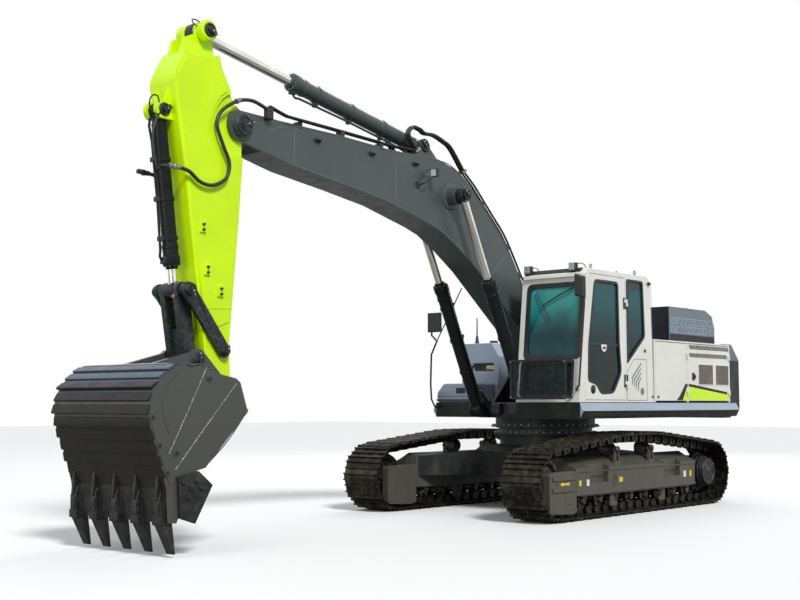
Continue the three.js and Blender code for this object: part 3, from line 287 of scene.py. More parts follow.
whitePaint = paint("cabWhitePaint", linear(226, 225, 219), dust=0.12, scuffs=0.08, rough=0.3, coat=0.4)
bluePaintAndHighlight = paint("skirtBluePaint", linear(150, 165, 182), dust=0.12, scuffs=0.15, rough=0.32)
trackSteel = metal("trackSteel", linear(18, 18, 16), linear(84, 78, 66), rough=0.36, scale=10,
    rust=linear(66, 54, 38), rustAmount=0.3, metallic=0.6)
rollerSteel = metal("rollerSteel", linear(40, 38, 36), linear(130, 122, 112), rough=0.4, scale=18)
castSteel = metal("pinSteel", linear(38, 42, 44), linear(72, 78, 80), rough=0.42, metallic=0.5, scale=22)
boltSteel = metal("boltSteel", linear(120, 122, 120), linear(205, 205, 198), rough=0.3, metallic=0.9,
    scale=40, grain=0.08)
toothSteel = metal("toothSteel", linear(38, 39, 39), linear(66, 66, 63), rough=0.4, metallic=0.5, scale=7,
    rust=linear(64, 52, 42), rustAmount=0.25)
rodChrome = metal("rodChrome", linear(222, 220, 212), linear(246, 244, 238), rough=0.1, metallic=1, scale=3,
    grain=0.01)
blackRubber = moulded("hoseRubber", linear(30, 31, 33), rough=0.5, grain=0.25, scale=260)
# rubber seals, also used as painted shade in the hood vents and bucket side holes
sealRubberAndShade = moulded("sealRubberAndShade", linear(18, 20, 22), rough=0.42, grain=0.1)
blackPlastic = moulded("blackPlastic", linear(32, 34, 37), rough=0.5)
greyPlastic = moulded("greyPlastic", linear(120, 126, 130), rough=0.5)
meshSteel = metal("grilleSteel", linear(84, 78, 70), linear(118, 112, 100), rough=0.5, metallic=0.4,
    scale=120, grain=0.6)
# painted shadow for vent slots, holes and recesses, also the dark joints of seams
darkRecess = moulded("ventShadow", linear(70, 66, 60), rough=0.8, grain=0.5, scale=320)
paleRecess = moulded("grillePlate", linear(158, 152, 142), rough=0.7, grain=0.5, scale=320)
# painted light for the engine hood: near-black painted shade for its front faces, a lighter painted tone for its
# sides
hoodFrontShade = paint("hoodFrontShadeTone", linear(15, 23, 30), dust=0.05, scuffs=0.1, rough=0.35, coat=0.1)
hoodSideLitTone = paint("hoodSideLitTone", linear(104, 114, 124), dust=0.05, scuffs=0.1, rough=0.35, coat=0.1)
wrapPaint = paint("bucketWrapPaint", linear(30, 29, 25), dust=0.6, dustTop=1.9, scuffs=0.25, rough=0.3,
    coat=0.06, dustColour=(58, 46, 26), grain=0.1, gloss=0.2)
# a blue-grey painted highlight for the bucket's upward faces
wrapTopHighlight = paint("bucketTopHighlight", linear(52, 64, 80), dust=0.1, scuffs=0.25, rough=0.28, coat=0.1,
    grain=0.1, gloss=0.4)
weldPaint = paint("weldGreyPaint", linear(104, 111, 109), dust=0.1, scuffs=0.1, rough=0.4, coat=0)
yellowPatch = paint("yellowPatch", linear(240, 206, 20), dust=0.3, scuffs=0.2, rough=0.4)
whitePatch = paint("whitePatch", linear(230, 230, 226), dust=0.3, scuffs=0.2, rough=0.4)
redPatch = paint("redPatch", linear(190, 30, 28), dust=0.2, scuffs=0.2, rough=0.4)
brassFitting = metal("zincFitting", linear(150, 140, 96), linear(212, 206, 180), rough=0.28, metallic=0.9,
    scale=30, grain=0.05)
lampGlass = tinted("lampGlass", linear(150, 160, 170), linear(220, 228, 235), 0, 4, 0.9)
tealGlass = tinted("tealGlass", linear(0, 58, 68), linear(56, 160, 155), 2.3, 2.8, 0.8, 0.15)
sideGlass = tinted("sideGlass", linear(0, 16, 20), linear(16, 92, 98), 2.05, 2.95, 0.74, 0.1)
mirrorFace = metal("mirrorFace", linear(200, 205, 208), linear(230, 233, 235), rough=0.04, metallic=1,
    scale=2, grain=0)
print("stage: finishes ready")


def newObject(name, mesh):
    obj = bpy.data.objects.new(name, mesh)
    scene.collection.objects.link(obj)
    return obj


def settle(obj, body, finishes, replaced=()):
    mesh = obj.data
    for finish in finishes:
        if finish.name not in [m.name for m in mesh.materials if m]:
            mesh.materials.append(finish)
    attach(obj, body)
    if replaced:
        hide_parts(*replaced)
    return obj


def rawMesh(name, parts, smooth=32):
    verts, faces, marks = [], [], []
    for part in parts:
        base = len(verts)
        verts += [tuple(p) for p in part[0]]
        faces += [tuple(i + base for i in face) for face in part[1]]
        marks += [part[2] if len(part) > 2 else 0] * len(part[1])
    mesh = bpy.data.meshes.new(name)
    mesh.from_pydata(verts, [], faces)
    mesh.polygons.foreach_set("material_index", marks)
    work = bmesh.new()
    work.from_mesh(mesh)
    bmesh.ops.recalc_face_normals(work, faces=work.faces)
    work.to_mesh(mesh)
    work.free()
    mesh.shade_smooth()
    mesh.set_sharp_from_angle(angle=math.radians(smooth))
    return mesh


def rounded(obj, width, segments=2, angle=35):
    bevel = obj.modifiers.new("Edges", "BEVEL")
    bevel.width, bevel.segments = width, segments
    bevel.limit_method, bevel.angle_limit = "ANGLE", math.radians(angle)
    bevel.harden_normals = True
    bevel.use_clamp_overlap = True
    return obj


def makePiece(name, parts, body, finishes, bevel=0.003, replaced=(), smooth=32):
    finishes = finishes if isinstance(finishes, (list, tuple)) else [finishes]
    obj = newObject(name, rawMesh(name, parts, smooth))
    for finish in finishes:
        obj.data.materials.append(finish)
    if bevel:
        rounded(obj, bevel)
    return settle(obj, body, [], replaced)


planes = {"xz": lambda a, b, c: at(a, c, b), "xy": lambda a, b, c: at(a, b, c), "yz": lambda a, b,
    c: at(c, a, b)}


def slab(outline, low, high, plane="xz", mark=0):
    spot = planes.get(plane, plane)
    n = len(outline)
    verts = [spot(a, b, low) for a, b in outline] + [spot(a, b, high) for a, b in outline]
    faces = [tuple(reversed(range(n))), tuple(range(n, 2 * n))]
    faces += [(i, (i + 1) % n, (i + 1) % n + n, i + n) for i in range(n)]
    return verts, faces, mark


def ringSlab(outer, inner, low, high, plane="xz", mark=0):
    spot = planes.get(plane, plane)
    n = len(outer)
    verts = [spot(a, b, c) for loop, c in ((outer, low), (inner, low), (outer, high), (inner, high)) for a,
        b in loop]
    faces = []
    for i in range(n):
        j = (i + 1) % n
        faces += [(i, j, n + j, n + i), (2 * n + i, 3 * n + i, 3 * n + j, 2 * n + j),
            (i, 2 * n + i, 2 * n + j, j), (n + i, n + j, 3 * n + j, 3 * n + i)]
    return verts, faces, mark


def lowHigh(a, b):
    return min(a, b), max(a, b)


def block(x0, x1, y0, y1, z0, z1, mark=0):
    return slab([(x0, z0), (x1, z0), (x1, z1), (x0, z1)], *lowHigh(y0, y1), "xz", mark)


def turned(profile, start, end, sides=32, mark=0):
    a, b = at(*start), at(*end)
    along = (b - a).normalized()
    across = along.orthogonal().normalized()
    other = along.cross(across)
    verts, rings = [], []
    for r, s in profile:
        centre = a + along * s
        if r < 1e-6:
            rings.append([len(verts)])
            verts.append(centre)
        else:
            rings.append(list(range(len(verts), len(verts) + sides)))
            for k in range(sides):
                t = 2 * math.pi * k / sides
                verts.append(centre + (across * math.cos(t) + other * math.sin(t)) * r)
    faces = []
    for one, two in zip(rings, rings[1:]):
        for i in range(sides):
            j = (i + 1) % sides
            if len(one) == 1 and len(two) == 1:
                continue
            if len(one) == 1:
                faces.append((one[0], two[i], two[j]))
            elif len(two) == 1:
                faces.append((one[i], one[j], two[0]))
            else:
                faces.append((one[i], one[j], two[j], two[i]))
    return verts, faces, mark


def stub(radius, high):  # the profile of a plain short cylinder
    return [(0, 0), (radius, 0), (radius, high), (0, high)]


def discY(pin, radius, y0, y1, sides=32, chamfer=0.008, mark=0):
    high = abs(y1 - y0)
    c = min(chamfer, high / 3, radius / 3)
    return turned([(0, 0), (radius - c, 0), (radius, c), (radius, high - c), (radius - c, high), (0, high)],
        (pin[0], y0, pin[1]), (pin[0], y1, pin[1]), sides, mark)


def filleted(outline, radius, steps=5):
    out, n = [], len(outline)
    for i, p in enumerate(outline):
        before, after = Vector(outline[i - 1]), Vector(outline[(i + 1) % n])
        p = Vector(p)
        a, b = before - p, after - p
        cutAt = min(radius, a.length * 0.45, b.length * 0.45)
        start, end = p + a.normalized() * cutAt, p + b.normalized() * cutAt
        for k in range(steps + 1):
            t = k / steps
            out.append(tuple(start * (1 - t) ** 2 + p * 2 * t * (1 - t) + end * t * t))
    return out


def offset(outline, amount):  # grows a loop outwards, corner by corner
    n = len(outline)
    area = sum(p[0] * q[1] - q[0] * p[1] for p, q in zip(outline, outline[1:] + outline[:1]))
    turn = 1 if area > 0 else -1
    out = []
    for i in range(n):
        p, q, r = Vector(outline[i - 1]), Vector(outline[i]), Vector(outline[(i + 1) % n])
        a, b = (q - p).normalized(), (r - q).normalized()
        na, nb = Vector((a.y, -a.x)) * turn, Vector((b.y, -b.x)) * turn
        both = na + nb
        scale = amount * 2 / max(both.length_squared, 0.6)
        out.append(tuple(q + both * scale))
    return out


def refined(node, finish, bevel=0.006, angle=35, smooth=32):
    # the CAD solid with joined faces and softened edges
    source = nodes[node].data
    mesh = bpy.data.meshes.new(node + "Skin")
    mesh.from_pydata([v.co.copy() for v in source.vertices], [], [tuple(p.vertices) for p in source.polygons])
    work = bmesh.new()
    work.from_mesh(mesh)
    bmesh.ops.remove_doubles(work, verts=work.verts, dist=3e-5)
    bmesh.ops.dissolve_limit(work, angle_limit=math.radians(0.5), verts=work.verts, edges=work.edges)
    work.to_mesh(mesh)
    work.free()
    mesh.shade_smooth()
    mesh.set_sharp_from_angle(angle=math.radians(smooth))
    obj = newObject(node + "Skin", mesh)
    mesh.materials.append(finish)
    if bevel:
        rounded(obj, bevel, angle=angle)
    return settle(obj, nodes[node]["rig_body"], [], [node])


def newTree(name, inputs):
    tree = bpy.data.node_groups.new(name, "GeometryNodeTree")
    tree.interface.new_socket("Geometry", in_out="INPUT", socket_type="NodeSocketGeometry")
    for label, kind in inputs:
        tree.interface.new_socket(label, in_out="INPUT", socket_type="NodeSocket" + kind)
    tree.interface.new_socket("Geometry", in_out="OUTPUT", socket_type="NodeSocketGeometry")
    return tree, tree.nodes.new("NodeGroupInput"), tree.nodes.new("NodeGroupOutput")


def closeTree(tree, entry, leave, made, placed=False):
    last = added(tree, "GeometryNodeRealizeInstances", {0: made}).outputs[0]
    if placed:
        last = added(tree, "GeometryNodeTransform", {"Geometry": last, "Translation": entry.outputs["Centre"],
            "Rotation": entry.outputs["Turn"]}).outputs[0]
    finish = added(tree, "GeometryNodeSetMaterial", {"Geometry": last, "Material": entry.outputs["Finish"]})
    link(tree, finish.outputs[0], leave.inputs[0])
    return tree


def placedParts(tree, entry, points, face=None):  # the given part on every point
    part = added(tree, "GeometryNodeObjectInfo", {"Object": entry.outputs["Part"]})
    spread = added(tree, "GeometryNodeInstanceOnPoints", {"Points": points,
        "Instance": part.outputs["Geometry"]})
    if face:
        link(tree, face.outputs[0], spread.inputs["Rotation"])
    return spread.outputs[0]


def sweepTree():  # a round tube along a smooth or filleted path
    tree, entry, leave = newTree("sweptTube", [("Radius", "Float"), ("Sides", "Int"), ("Corner", "Float"),
        ("Smooth", "Bool"), ("Finish", "Material")])
    curve = added(tree, "GeometryNodeMeshToCurve", {0: entry.outputs["Geometry"]}).outputs[0]
    kind = added(tree, "GeometryNodeCurveSplineType", {0: curve}, spline_type="CATMULL_ROM")
    resolve = added(tree, "GeometryNodeSetSplineResolution", {"Resolution": 8, 0: kind.outputs[0]})
    fillet = added(tree, "GeometryNodeFilletCurve", {"Limit Radius": True, 0: curve,
        "Radius": entry.outputs["Corner"]})
    if "Mode" in fillet.inputs:
        fillet.inputs["Mode"].default_value = "Poly"
    else:
        fillet.mode = "POLY"
    fillet.inputs["Count"].default_value = 5
    choice = added(tree, "GeometryNodeSwitch", input_type="GEOMETRY")
    for socket, value in (("Switch", entry.outputs["Smooth"]), ("False", fillet.outputs[0]),
        ("True", resolve.outputs[0])):
        link(tree, value, choice.inputs[socket])
    profile = added(tree, "GeometryNodeCurvePrimitiveCircle", {"Radius": entry.outputs["Radius"],
        "Resolution": entry.outputs["Sides"]})
    sweep = added(tree, "GeometryNodeCurveToMesh", {"Fill Caps": True, "Curve": choice.outputs[0],
        "Profile Curve": profile.outputs[0]})
    return closeTree(tree, entry, leave, sweep.outputs[0])


def ringTree():  # one part repeated round a circle
    tree, entry, leave = newTree("roundCircle", [("Radius", "Float"), ("Count", "Int"), ("Part", "Object"),
        ("Centre", "Vector"), ("Turn", "Vector"), ("Finish", "Material")])
    circle = added(tree, "GeometryNodeCurvePrimitiveCircle", {"Radius": entry.outputs["Radius"],
        "Resolution": entry.outputs["Count"]})
    place = added(tree, "GeometryNodeInputPosition")
    face = added(tree, "FunctionNodeAlignRotationToVector", {"Vector": place.outputs[0]}, axis="X",
        pivot_axis="Z")
    return closeTree(tree, entry, leave, placedParts(tree, entry, circle.outputs[0], face), placed=True)


def gridTree():  # one part repeated in rows and columns
    tree, entry, leave = newTree("rowsAndColumns", [("Width", "Float"), ("Height", "Float"),
        ("Columns", "Int"), ("Rows", "Int"), ("Part", "Object"), ("Centre", "Vector"), ("Turn", "Vector"),
        ("Finish", "Material")])
    grid = added(tree, "GeometryNodeMeshGrid", {"Size X": entry.outputs["Width"],
        "Size Y": entry.outputs["Height"], "Vertices X": entry.outputs["Columns"],
        "Vertices Y": entry.outputs["Rows"]})
    return closeTree(tree, entry, leave, placedParts(tree, entry, grid.outputs[0]), placed=True)


def chainTree():  # one part on each chord of a closed path, as track shoes sit between their pins
    tree, entry, leave = newTree("roundTheChain", [("Count", "Int"), ("Part", "Object"),
        ("Finish", "Material")])
    curve = added(tree, "GeometryNodeMeshToCurve", {0: entry.outputs["Geometry"]})
    spaced = added(tree, "GeometryNodeResampleCurve", {"Curve": curve.outputs[0],
        "Count": entry.outputs["Count"]})
    place = added(tree, "GeometryNodeInputPosition").outputs[0]
    index = added(tree, "GeometryNodeInputIndex").outputs[0]
    step = added(tree, "ShaderNodeMath", {0: index, 1: 1}, operation="ADD").outputs[0]
    wrap = added(tree, "ShaderNodeMath", {0: step, 1: entry.outputs["Count"]}, operation="MODULO").outputs[0]
    ahead = added(tree, "GeometryNodeFieldAtIndex", data_type="FLOAT_VECTOR", domain="POINT")
    feed(tree, ahead.inputs["Index"], wrap)
    feed(tree, ahead.inputs["Value"], place)
    chord = added(tree, "ShaderNodeVectorMath", {0: ahead.outputs[0], 1: place}, operation="SUBTRACT")
    keep = added(tree, "GeometryNodeStoreNamedAttribute", data_type="FLOAT_VECTOR", domain="POINT")
    for socket, value in (("Name", "chord"), ("Geometry", spaced.outputs[0]), ("Value", chord.outputs[0])):
        feed(tree, keep.inputs[socket], value)
    kept = added(tree, "GeometryNodeInputNamedAttribute", {"Name": "chord"}, data_type="FLOAT_VECTOR")
    half = added(tree, "ShaderNodeVectorMath", {0: kept.outputs["Attribute"]}, operation="SCALE")
    half.inputs["Scale"].default_value = 0.5
    middle = added(tree, "GeometryNodeSetPosition", {"Geometry": keep.outputs[0], "Offset": half.outputs[0]})
    face = added(tree, "FunctionNodeAlignRotationToVector", {"Vector": kept.outputs["Attribute"]}, axis="X",
        pivot_axis="Y")
    return closeTree(tree, entry, leave, placedParts(tree, entry, middle.outputs[0], face))


trees = {"sweep": sweepTree(), "ring": ringTree(), "grid": gridTree(), "chain": chainTree()}


def grown(name, kind, values, body, points=(), closed=False, replaced=(), smooth=35):
    mesh = bpy.data.meshes.new(name + "Path")
    count = len(points)
    edges = [(i, i + 1) for i in range(count - 1)] + ([(count - 1, 0)] if closed else [])
    mesh.from_pydata([tuple(p) for p in points], edges, [])
    host = newObject(name + "Path", mesh)
    tree = trees[kind]
    modifier = host.modifiers.new("Grow", "NODES")
    modifier.node_group = tree
    sockets = {item.name: item.identifier for item in tree.interface.items_tree if item.in_out == "INPUT"}
    for label, value in values.items():
        modifier[sockets[label]] = value
    graph = bpy.context.evaluated_depsgraph_get()
    made = bpy.data.meshes.new_from_object(host.evaluated_get(graph), depsgraph=graph)
    bpy.data.objects.remove(host)
    made.name = name
    for attribute in [a.name for a in made.attributes if a.name == "chord"]:
        made.attributes.remove(made.attributes[attribute])
    made.shade_smooth()
    made.set_sharp_from_angle(angle=math.radians(smooth))
    return settle(newObject(name, made), body, [], replaced)


def tube(name, points, radius, body, finish, smooth=True, corner=0.05, sides=12, closed=False):
    return grown(name, "sweep", {"Radius": radius, "Sides": sides, "Corner": corner, "Smooth": smooth,
        "Finish": finish}, body, [at(*p) for p in points], closed)


def partObject(name, parts):  # a small repeated part about its own origin
    mesh = rawMesh(name, [([Vector(p) - at(0, 0, 0) for p in part[0]],) + tuple(part[1:]) for part in parts])
    return newObject(name, mesh)


spareParts = {}


def bolt(size=0.02):  # a hexagon head with a washer, its axis along Z
    key = "bolt%03d" % round(size * 1000)
    if key not in spareParts:
        spareParts[key] = partObject(key, [
            turned([(0, -0.002), (size * 0.9, -0.002), (size * 0.9, size * 0.15), (0, size * 0.15)],
            (0, 0, 0), (0, 0, 1), 14),
            turned([(0, 0), (size * 0.68, 0), (size * 0.68, size * 0.62), (size * 0.5, size * 0.75),
            (0, size * 0.75)], (0, 0, 0), (0, 0, 1), 6)])
    return spareParts[key]


def boltRing(name, centre, radius, count, size, body, turn=(0, 0, 0), finish=None):
    return grown(name, "ring", {"Radius": radius, "Count": count, "Part": bolt(size),
        "Centre": tuple(at(*centre)), "Turn": turn, "Finish": finish or boltSteel}, body)


print("stage: trees ready")


belt = {"wrap": 0.455, "wheels": (2.03, -2.01), "carriers": (0.465, -0.425), "carrierRadius": 0.085,
    "carrierZ": 0.835,
    "depth": 0.147, "pitchDepth": 0.09, "shoes": 50, "half": 0.3, "gauge": 2.59, "wheelRadius": 0.302}

firstRoller, rollerStep = 1.28, 0.386


def circlePoints(centre, radius, count, start=0.0):
    return [(centre[0] + radius * math.cos(start + 2 * math.pi * i / count),
        centre[1] + radius * math.sin(start + 2 * math.pi * i / count)) for i in range(count)]


def beltPath(depth):  # the taut loop round the four wheels, at a depth below the grouser tips
    cloud = []
    for x in belt["wheels"]:
        cloud += circlePoints((x, belt["wrap"]), belt["wrap"] - depth, 96)
    for x in belt["carriers"]:
        cloud += circlePoints((x, belt["carrierZ"]), belt["carrierRadius"] + belt["depth"] - depth, 96)
    cloud.sort()

    def half(points):
        hull = []
        for p in points:
            while len(hull) > 1 and ((hull[-1][0] - hull[-2][0]) * (p[1] - hull[-2][1])
                - (hull[-1][1] - hull[-2][1]) * (p[0] - hull[-2][0])) <= 0:
                hull.pop()
            hull.append(p)
        return hull
    return half(cloud)[:-1] + half(cloud[::-1])[:-1]


shoeOutline = [(-0.104, -0.061), (-0.095, -0.090), (-0.081, -0.090), (-0.073, -0.062), (-0.013, -0.061),
    (-0.007, -0.085), (0.007, -0.085), (0.013, -0.061), (0.066, -0.062), (0.074, -0.090), (0.088, -0.090),
    (0.095, -0.066), (0.114, -0.062), (0.134, -0.054), (0.136, -0.045), (0.112, -0.049), (-0.104, -0.048)]
railRear = [(-0.132, -0.022), (-0.138, 0.0), (-0.128, 0.028), (-0.09, 0.05), (-0.045, 0.057), (0.02, 0.057),
    (0.02, -0.049), (-0.09, -0.049)]
railFront = [(0.09, -0.049), (0.0, -0.049), (0.0, 0.057), (0.045, 0.057), (0.09, 0.05), (0.128, 0.028),
    (0.138, 0.0), (0.132, -0.022)]
shoeParts = [slab(shoeOutline, -belt["half"], belt["half"])]
for s in (-1, 1):
    shoeParts += [slab(railRear, *lowHigh(s * 0.056, s * 0.08)),
        slab(railFront, *lowHigh(s * 0.078, s * 0.104))]
    shoeParts += [turned(stub(0.034, 0.008), (0.104, s * 0.104, 0),
        (0.104, s * 0.2, 0), 12)]
    shoeParts += [turned(stub(0.017, 0.014), (x, s * y, -0.048),
        (x, s * y, 0), 6) for x in (-0.045, 0.045) for y in (0.15, 0.19)]
shoeParts += [turned(stub(0.024, 0.17), (0.104, -0.085, 0), (0.104, 0.085, 0),
    10)]
shoe = partObject("shoe", shoeParts)

for word, s in bothSides:
    middle = s * belt["gauge"] / 2
    outer = middle + s * 0.2
    loop = [at(x, middle, z) for x, z in beltPath(belt["pitchDepth"])]
    chain = grown("track_chain_" + word, "chain", {"Count": belt["shoes"], "Part": shoe,
        "Finish": trackSteel},
        under, loop, closed=True, replaced=["track_" + word])
    rounded(chain, 0.0018, 1)

    # front idler with a raised centre flange
    hub = (belt["wheels"][0], belt["wrap"])
    idlerProfile = [(0, 0), (0.06, 0), (0.075, 0.012), (0.095, 0.018), (0.11, 0.045), (0.22, 0.05),
        (0.255, 0.022), (0.296, 0.018),
        (0.302, 0.026), (0.302, 0.06), (0.318, 0.067), (0.318, 0.143), (0.302, 0.15),
        (0.302, 0.184), (0.296, 0.192),
        (0.255, 0.188), (0.22, 0.16), (0.11, 0.165), (0.095, 0.192), (0.075, 0.198),
        (0.06, 0.21), (0, 0.21)]
    makePiece("idler_wheel_" + word, [turned(idlerProfile, (hub[0], middle - 0.105, hub[1]),
        (hub[0], middle + 0.105, hub[1]), 56)],
        under, rollerSteel, 0, ["idler_" + word])

    # toothed rim and final drive cover
    hub = (belt["wheels"][1], belt["wrap"])
    teeth = []
    for i in range(21):
        for part, r in ((0.0, 0.262), (0.18, 0.262), (0.36, 0.298), (0.62, 0.298), (0.8, 0.262)):
            t = 2 * math.pi * (i + part) / 21
            teeth.append((hub[0] + r * math.cos(t), hub[1] + r * math.sin(t)))
    hole = [(hub[0] + 0.18 * math.cos(math.atan2(z - hub[1], x - hub[0])),
        hub[1] + 0.18 * math.sin(math.atan2(z - hub[1], x - hub[0]))) for x, z in teeth]
    drive = [(0.0, 0), (0.235, 0), (0.235, 0.06), (0.222, 0.066), (0.222, 0.115), (0.206, 0.122),
        (0.206, 0.15), (0.196, 0.156),
        (0.196, 0.182), (0.188, 0.19), (0.155, 0.192), (0.15, 0.186), (0.06, 0.19), (0.05, 0.2), (0, 0.2)]
    makePiece("drive_sprocket_" + word, [ringSlab(teeth, hole, middle - 0.034, middle + 0.034),
        turned(drive, (hub[0], middle + s * 0.008, hub[1]), (hub[0], middle + s * 0.3, hub[1]), 56),
        turned([(0, 0), (0.2, 0), (0.215, 0.02), (0.215, 0.09), (0, 0.09)], (hub[0], middle, hub[1]),
        (hub[0], middle - s * 0.1, hub[1]), 40)],
        under, castSteel, 0.002, ["sprocket_" + word])
    outwards = (math.radians(-90 * s), 0, 0)
    boltRing("drive_bolts_" + word, (hub[0], middle + s * 0.19, hub[1]), 0.172, 26, 0.012, under, outwards,
        castSteel)
    boltRing("sprocket_bolts_" + word, (hub[0], middle + s * 0.066, hub[1]), 0.226, 24, 0.011, under,
        outwards, rollerSteel)
    marks = [(0.110, 0.110), (-0.138, 0.112)]
    makePiece("drive_marks_" + word, [discY((hub[0] + x, hub[1] + z - 0.01), 0.017, middle + s * 0.196,
        middle + s * 0.202, 14, 0.001) for x, z in marks], under, redPatch, 0)
    makePiece("drive_plugs_" + word, [discY((hub[0] + x, hub[1] + z), 0.016, middle + s * 0.19,
        middle + s * 0.208, 6, 0.002) for x, z in ((0, -0.11), (0, 0.115), (-0.115, 0))], under,
        castSteel, 0)

    # bottom rollers, their rail and the two chain guides
    roller = [(0, 0), (0.03, 0), (0.034, 0.006), (0.05, 0.02), (0.052, 0.034), (0.07, 0.04), (0.092, 0.046),
        (0.092, 0.058), (0.074, 0.066),
        (0.073, 0.115), (0.05, 0.12), (0.05, 0.184), (0.073, 0.189), (0.074, 0.238), (0.092, 0.246),
        (0.092, 0.258), (0.07, 0.264),
        (0.052, 0.27), (0.05, 0.284), (0.034, 0.298), (0.03, 0.304), (0, 0.304)]
    oneRoller = partObject("roller" + word, [turned(roller, (0, -0.152, 0), (0, 0.152, 0), 24)] + [
        slab([(-0.05, 0.052), (-0.036, -0.03), (-0.02, -0.042), (0.02, -0.042), (0.036, -0.03),
        (0.05, 0.052)], *lowHigh(t * 0.126, t * 0.154)) for t in (-1, 1)] + [
        turned(stub(0.011, 0.01), (x, t * 0.154, 0.03), (x, t * 0.2, 0.03), 6)
        for t in (-1, 1) for x in (-0.027, 0.027)])
    last = firstRoller - rollerStep * 7
    rollers = grown("bottom_roller_row_" + word, "grid",
        {"Width": firstRoller - last, "Height": 0.0, "Columns": 8, "Rows": 1, "Part": oneRoller,
        "Centre": tuple(at((firstRoller + last) / 2, middle, 0.221)), "Turn": (0, 0, 0),
        "Finish": rollerSteel},
        under, replaced=["bottom_rollers_" + word])
    rounded(rollers, 0.0015, 1)
    guideX = [firstRoller - rollerStep * 1.85, firstRoller - rollerStep * 5.15]
    guideOutline = [(-0.075, 0.115), (0.075, 0.115), (0.085, 0.13), (0.085, 0.272), (-0.085, 0.272),
        (-0.085, 0.13)]
    makePiece("roller_rail_" + word, [block(last - 0.11, 1.39, middle - 0.165, middle + 0.165, 0.2727,
        0.2946)] + [
        slab([(x + a, z) for a, z in guideOutline], middle + t * 0.132 - 0.014, middle + t * 0.132 + 0.014)
        for x in guideX for t in (-1, 1)], under, framePaint, 0.003)

    # the frame itself, its marks, bosses and the track adjuster's hole
    refined("track_frame_" + word, framePaint, 0.008)
    face = middle + s * 0.188
    yoke = middle + s * 0.2
    patch = [((1.43, 0.446), 0.048, 0.07, yellowPatch), ((1.25, 0.445), 0.06, 0.08, whitePatch),
        ((0.45, 0.452), 0.09, 0.062, yellowPatch),
        ((-1.29, 0.451), 0.07, 0.085, whitePatch), ((-1.46, 0.449), 0.05, 0.085, yellowPatch)]
    for index, (centre, w, h, finish) in enumerate(patch):
        makePiece("frame_patch_%s_%d" % (word, index),
            [block(centre[0] - w / 2, centre[0] + w / 2, face, face + s * 0.002,
            centre[1] - h / 2, centre[1] + h / 2)], under, finish, 0)
    lozenge = [(1.90, 0.452), (1.85, 0.478), (1.835, 0.464), (1.745, 0.464), (1.69, 0.472), (1.70, 0.452),
        (1.69, 0.432), (1.745, 0.44), (1.835, 0.44), (1.85, 0.426)]
    makePiece("yoke_patch_" + word, [slab(lozenge, *lowHigh(yoke, yoke + s * 0.002))], under, yellowPatch, 0)
    oval = [(0.6 + 0.036 * math.cos(t * math.pi / 12),
        0.462 + 0.062 * math.sin(t * math.pi / 12)) for t in range(24)]
    rim = [(0.6 + 0.05 * math.cos(t * math.pi / 12),
        0.462 + 0.078 * math.sin(t * math.pi / 12)) for t in range(24)]
    makePiece("frame_hole_" + word, [slab(oval, *lowHigh(face, face + s * 0.002)),
        ringSlab(rim, oval, *lowHigh(face, face + s * 0.006), mark=1),
        discY((1.968, 0.452), 0.026, yoke, yoke + s * 0.002, 20, 0.0005)],
        under, [darkRecess, framePaint], 0)
    makePiece("frame_trim_" + word, [
        block(-1.58, 1.50, middle + s * 0.186, middle + s * 0.197, 0.578, 0.59),
        block(-1.58, 1.50, middle + s * 0.186, middle + s * 0.197, 0.318, 0.33),
        block(1.52, 1.545, middle + s * 0.15, middle + s * 0.205, 0.30, 0.62),
        slab([(1.62, 0.075), (2.05, 0.105), (2.05, 0.122), (1.62, 0.092)],
        *lowHigh(middle + s * 0.2, middle + s * 0.212)),
        block(1.6, 1.78, middle + s * 0.199, middle + s * 0.206, 0.2, 0.35)],
        under, framePaint, 0.003)
    for index, x in enumerate(belt["carriers"]):
        cap = (x, belt["carrierZ"])
        makePiece("carrier_cap_%s_%d" % (word, index), [
            discY(cap, 0.046, middle + s * 0.128, middle + s * 0.168, 20, 0.006),
            discY(cap, 0.03, middle + s * 0.165, middle + s * 0.176, 6, 0.003),
            turned([(0, 0), (0.076, 0), (0.084, 0.008), (0.084, 0.03), (0.076, 0.036), (0.076, 0.124),
            (0.084, 0.13), (0.084, 0.152), (0.076, 0.16), (0, 0.16)],
            (x, middle - 0.08, cap[1]), (x, middle + 0.08, cap[1]), 28)], under,
            [rollerSteel], 0.001)
print("stage: undercarriage")

refined("carbody", blackPaint, 0.012)
refined("slew_ring", castSteel, 0.004)
makePiece("slew_flange_lower", [ringSlab(circlePoints((0, 0), 0.735, 72), circlePoints((0, 0), 0.661, 72),
    1.012, 1.042, "xy")], under, castSteel, 0.003)
boltRing("slew_bolts_lower", (0, 0, 1.042), 0.706, 44, 0.017, under)
makePiece("slew_flange_upper", [ringSlab(circlePoints((0, 0), 0.76, 72), circlePoints((0, 0), 0.705, 72),
    1.112, 1.14, "xy")], upper, castSteel, 0.003)
boltRing("slew_bolts_upper", (0, 0, 1.14), 0.735, 44, 0.017, upper)
makePiece("leg_plates", [slab([(s * 0.86, 1.085), (s * 1.46, 1.085), (s * 1.46, 1.0), (s * 0.9, 0.9)], 0.7,
    0.716, "xy") for s in (-1, 1)], under, blackPaint, 0.003)


def repaint(obj, finish, test):  # another finish on the faces that pass the test
    mesh = obj.data
    mesh.materials.append(finish)
    mark = len(mesh.materials) - 1
    for face in mesh.polygons:
        centre = face.center
        if test(Vector((centre.x - swingX, centre.y - swingY, centre.z)), face.normal):
            face.material_index = mark
    return obj


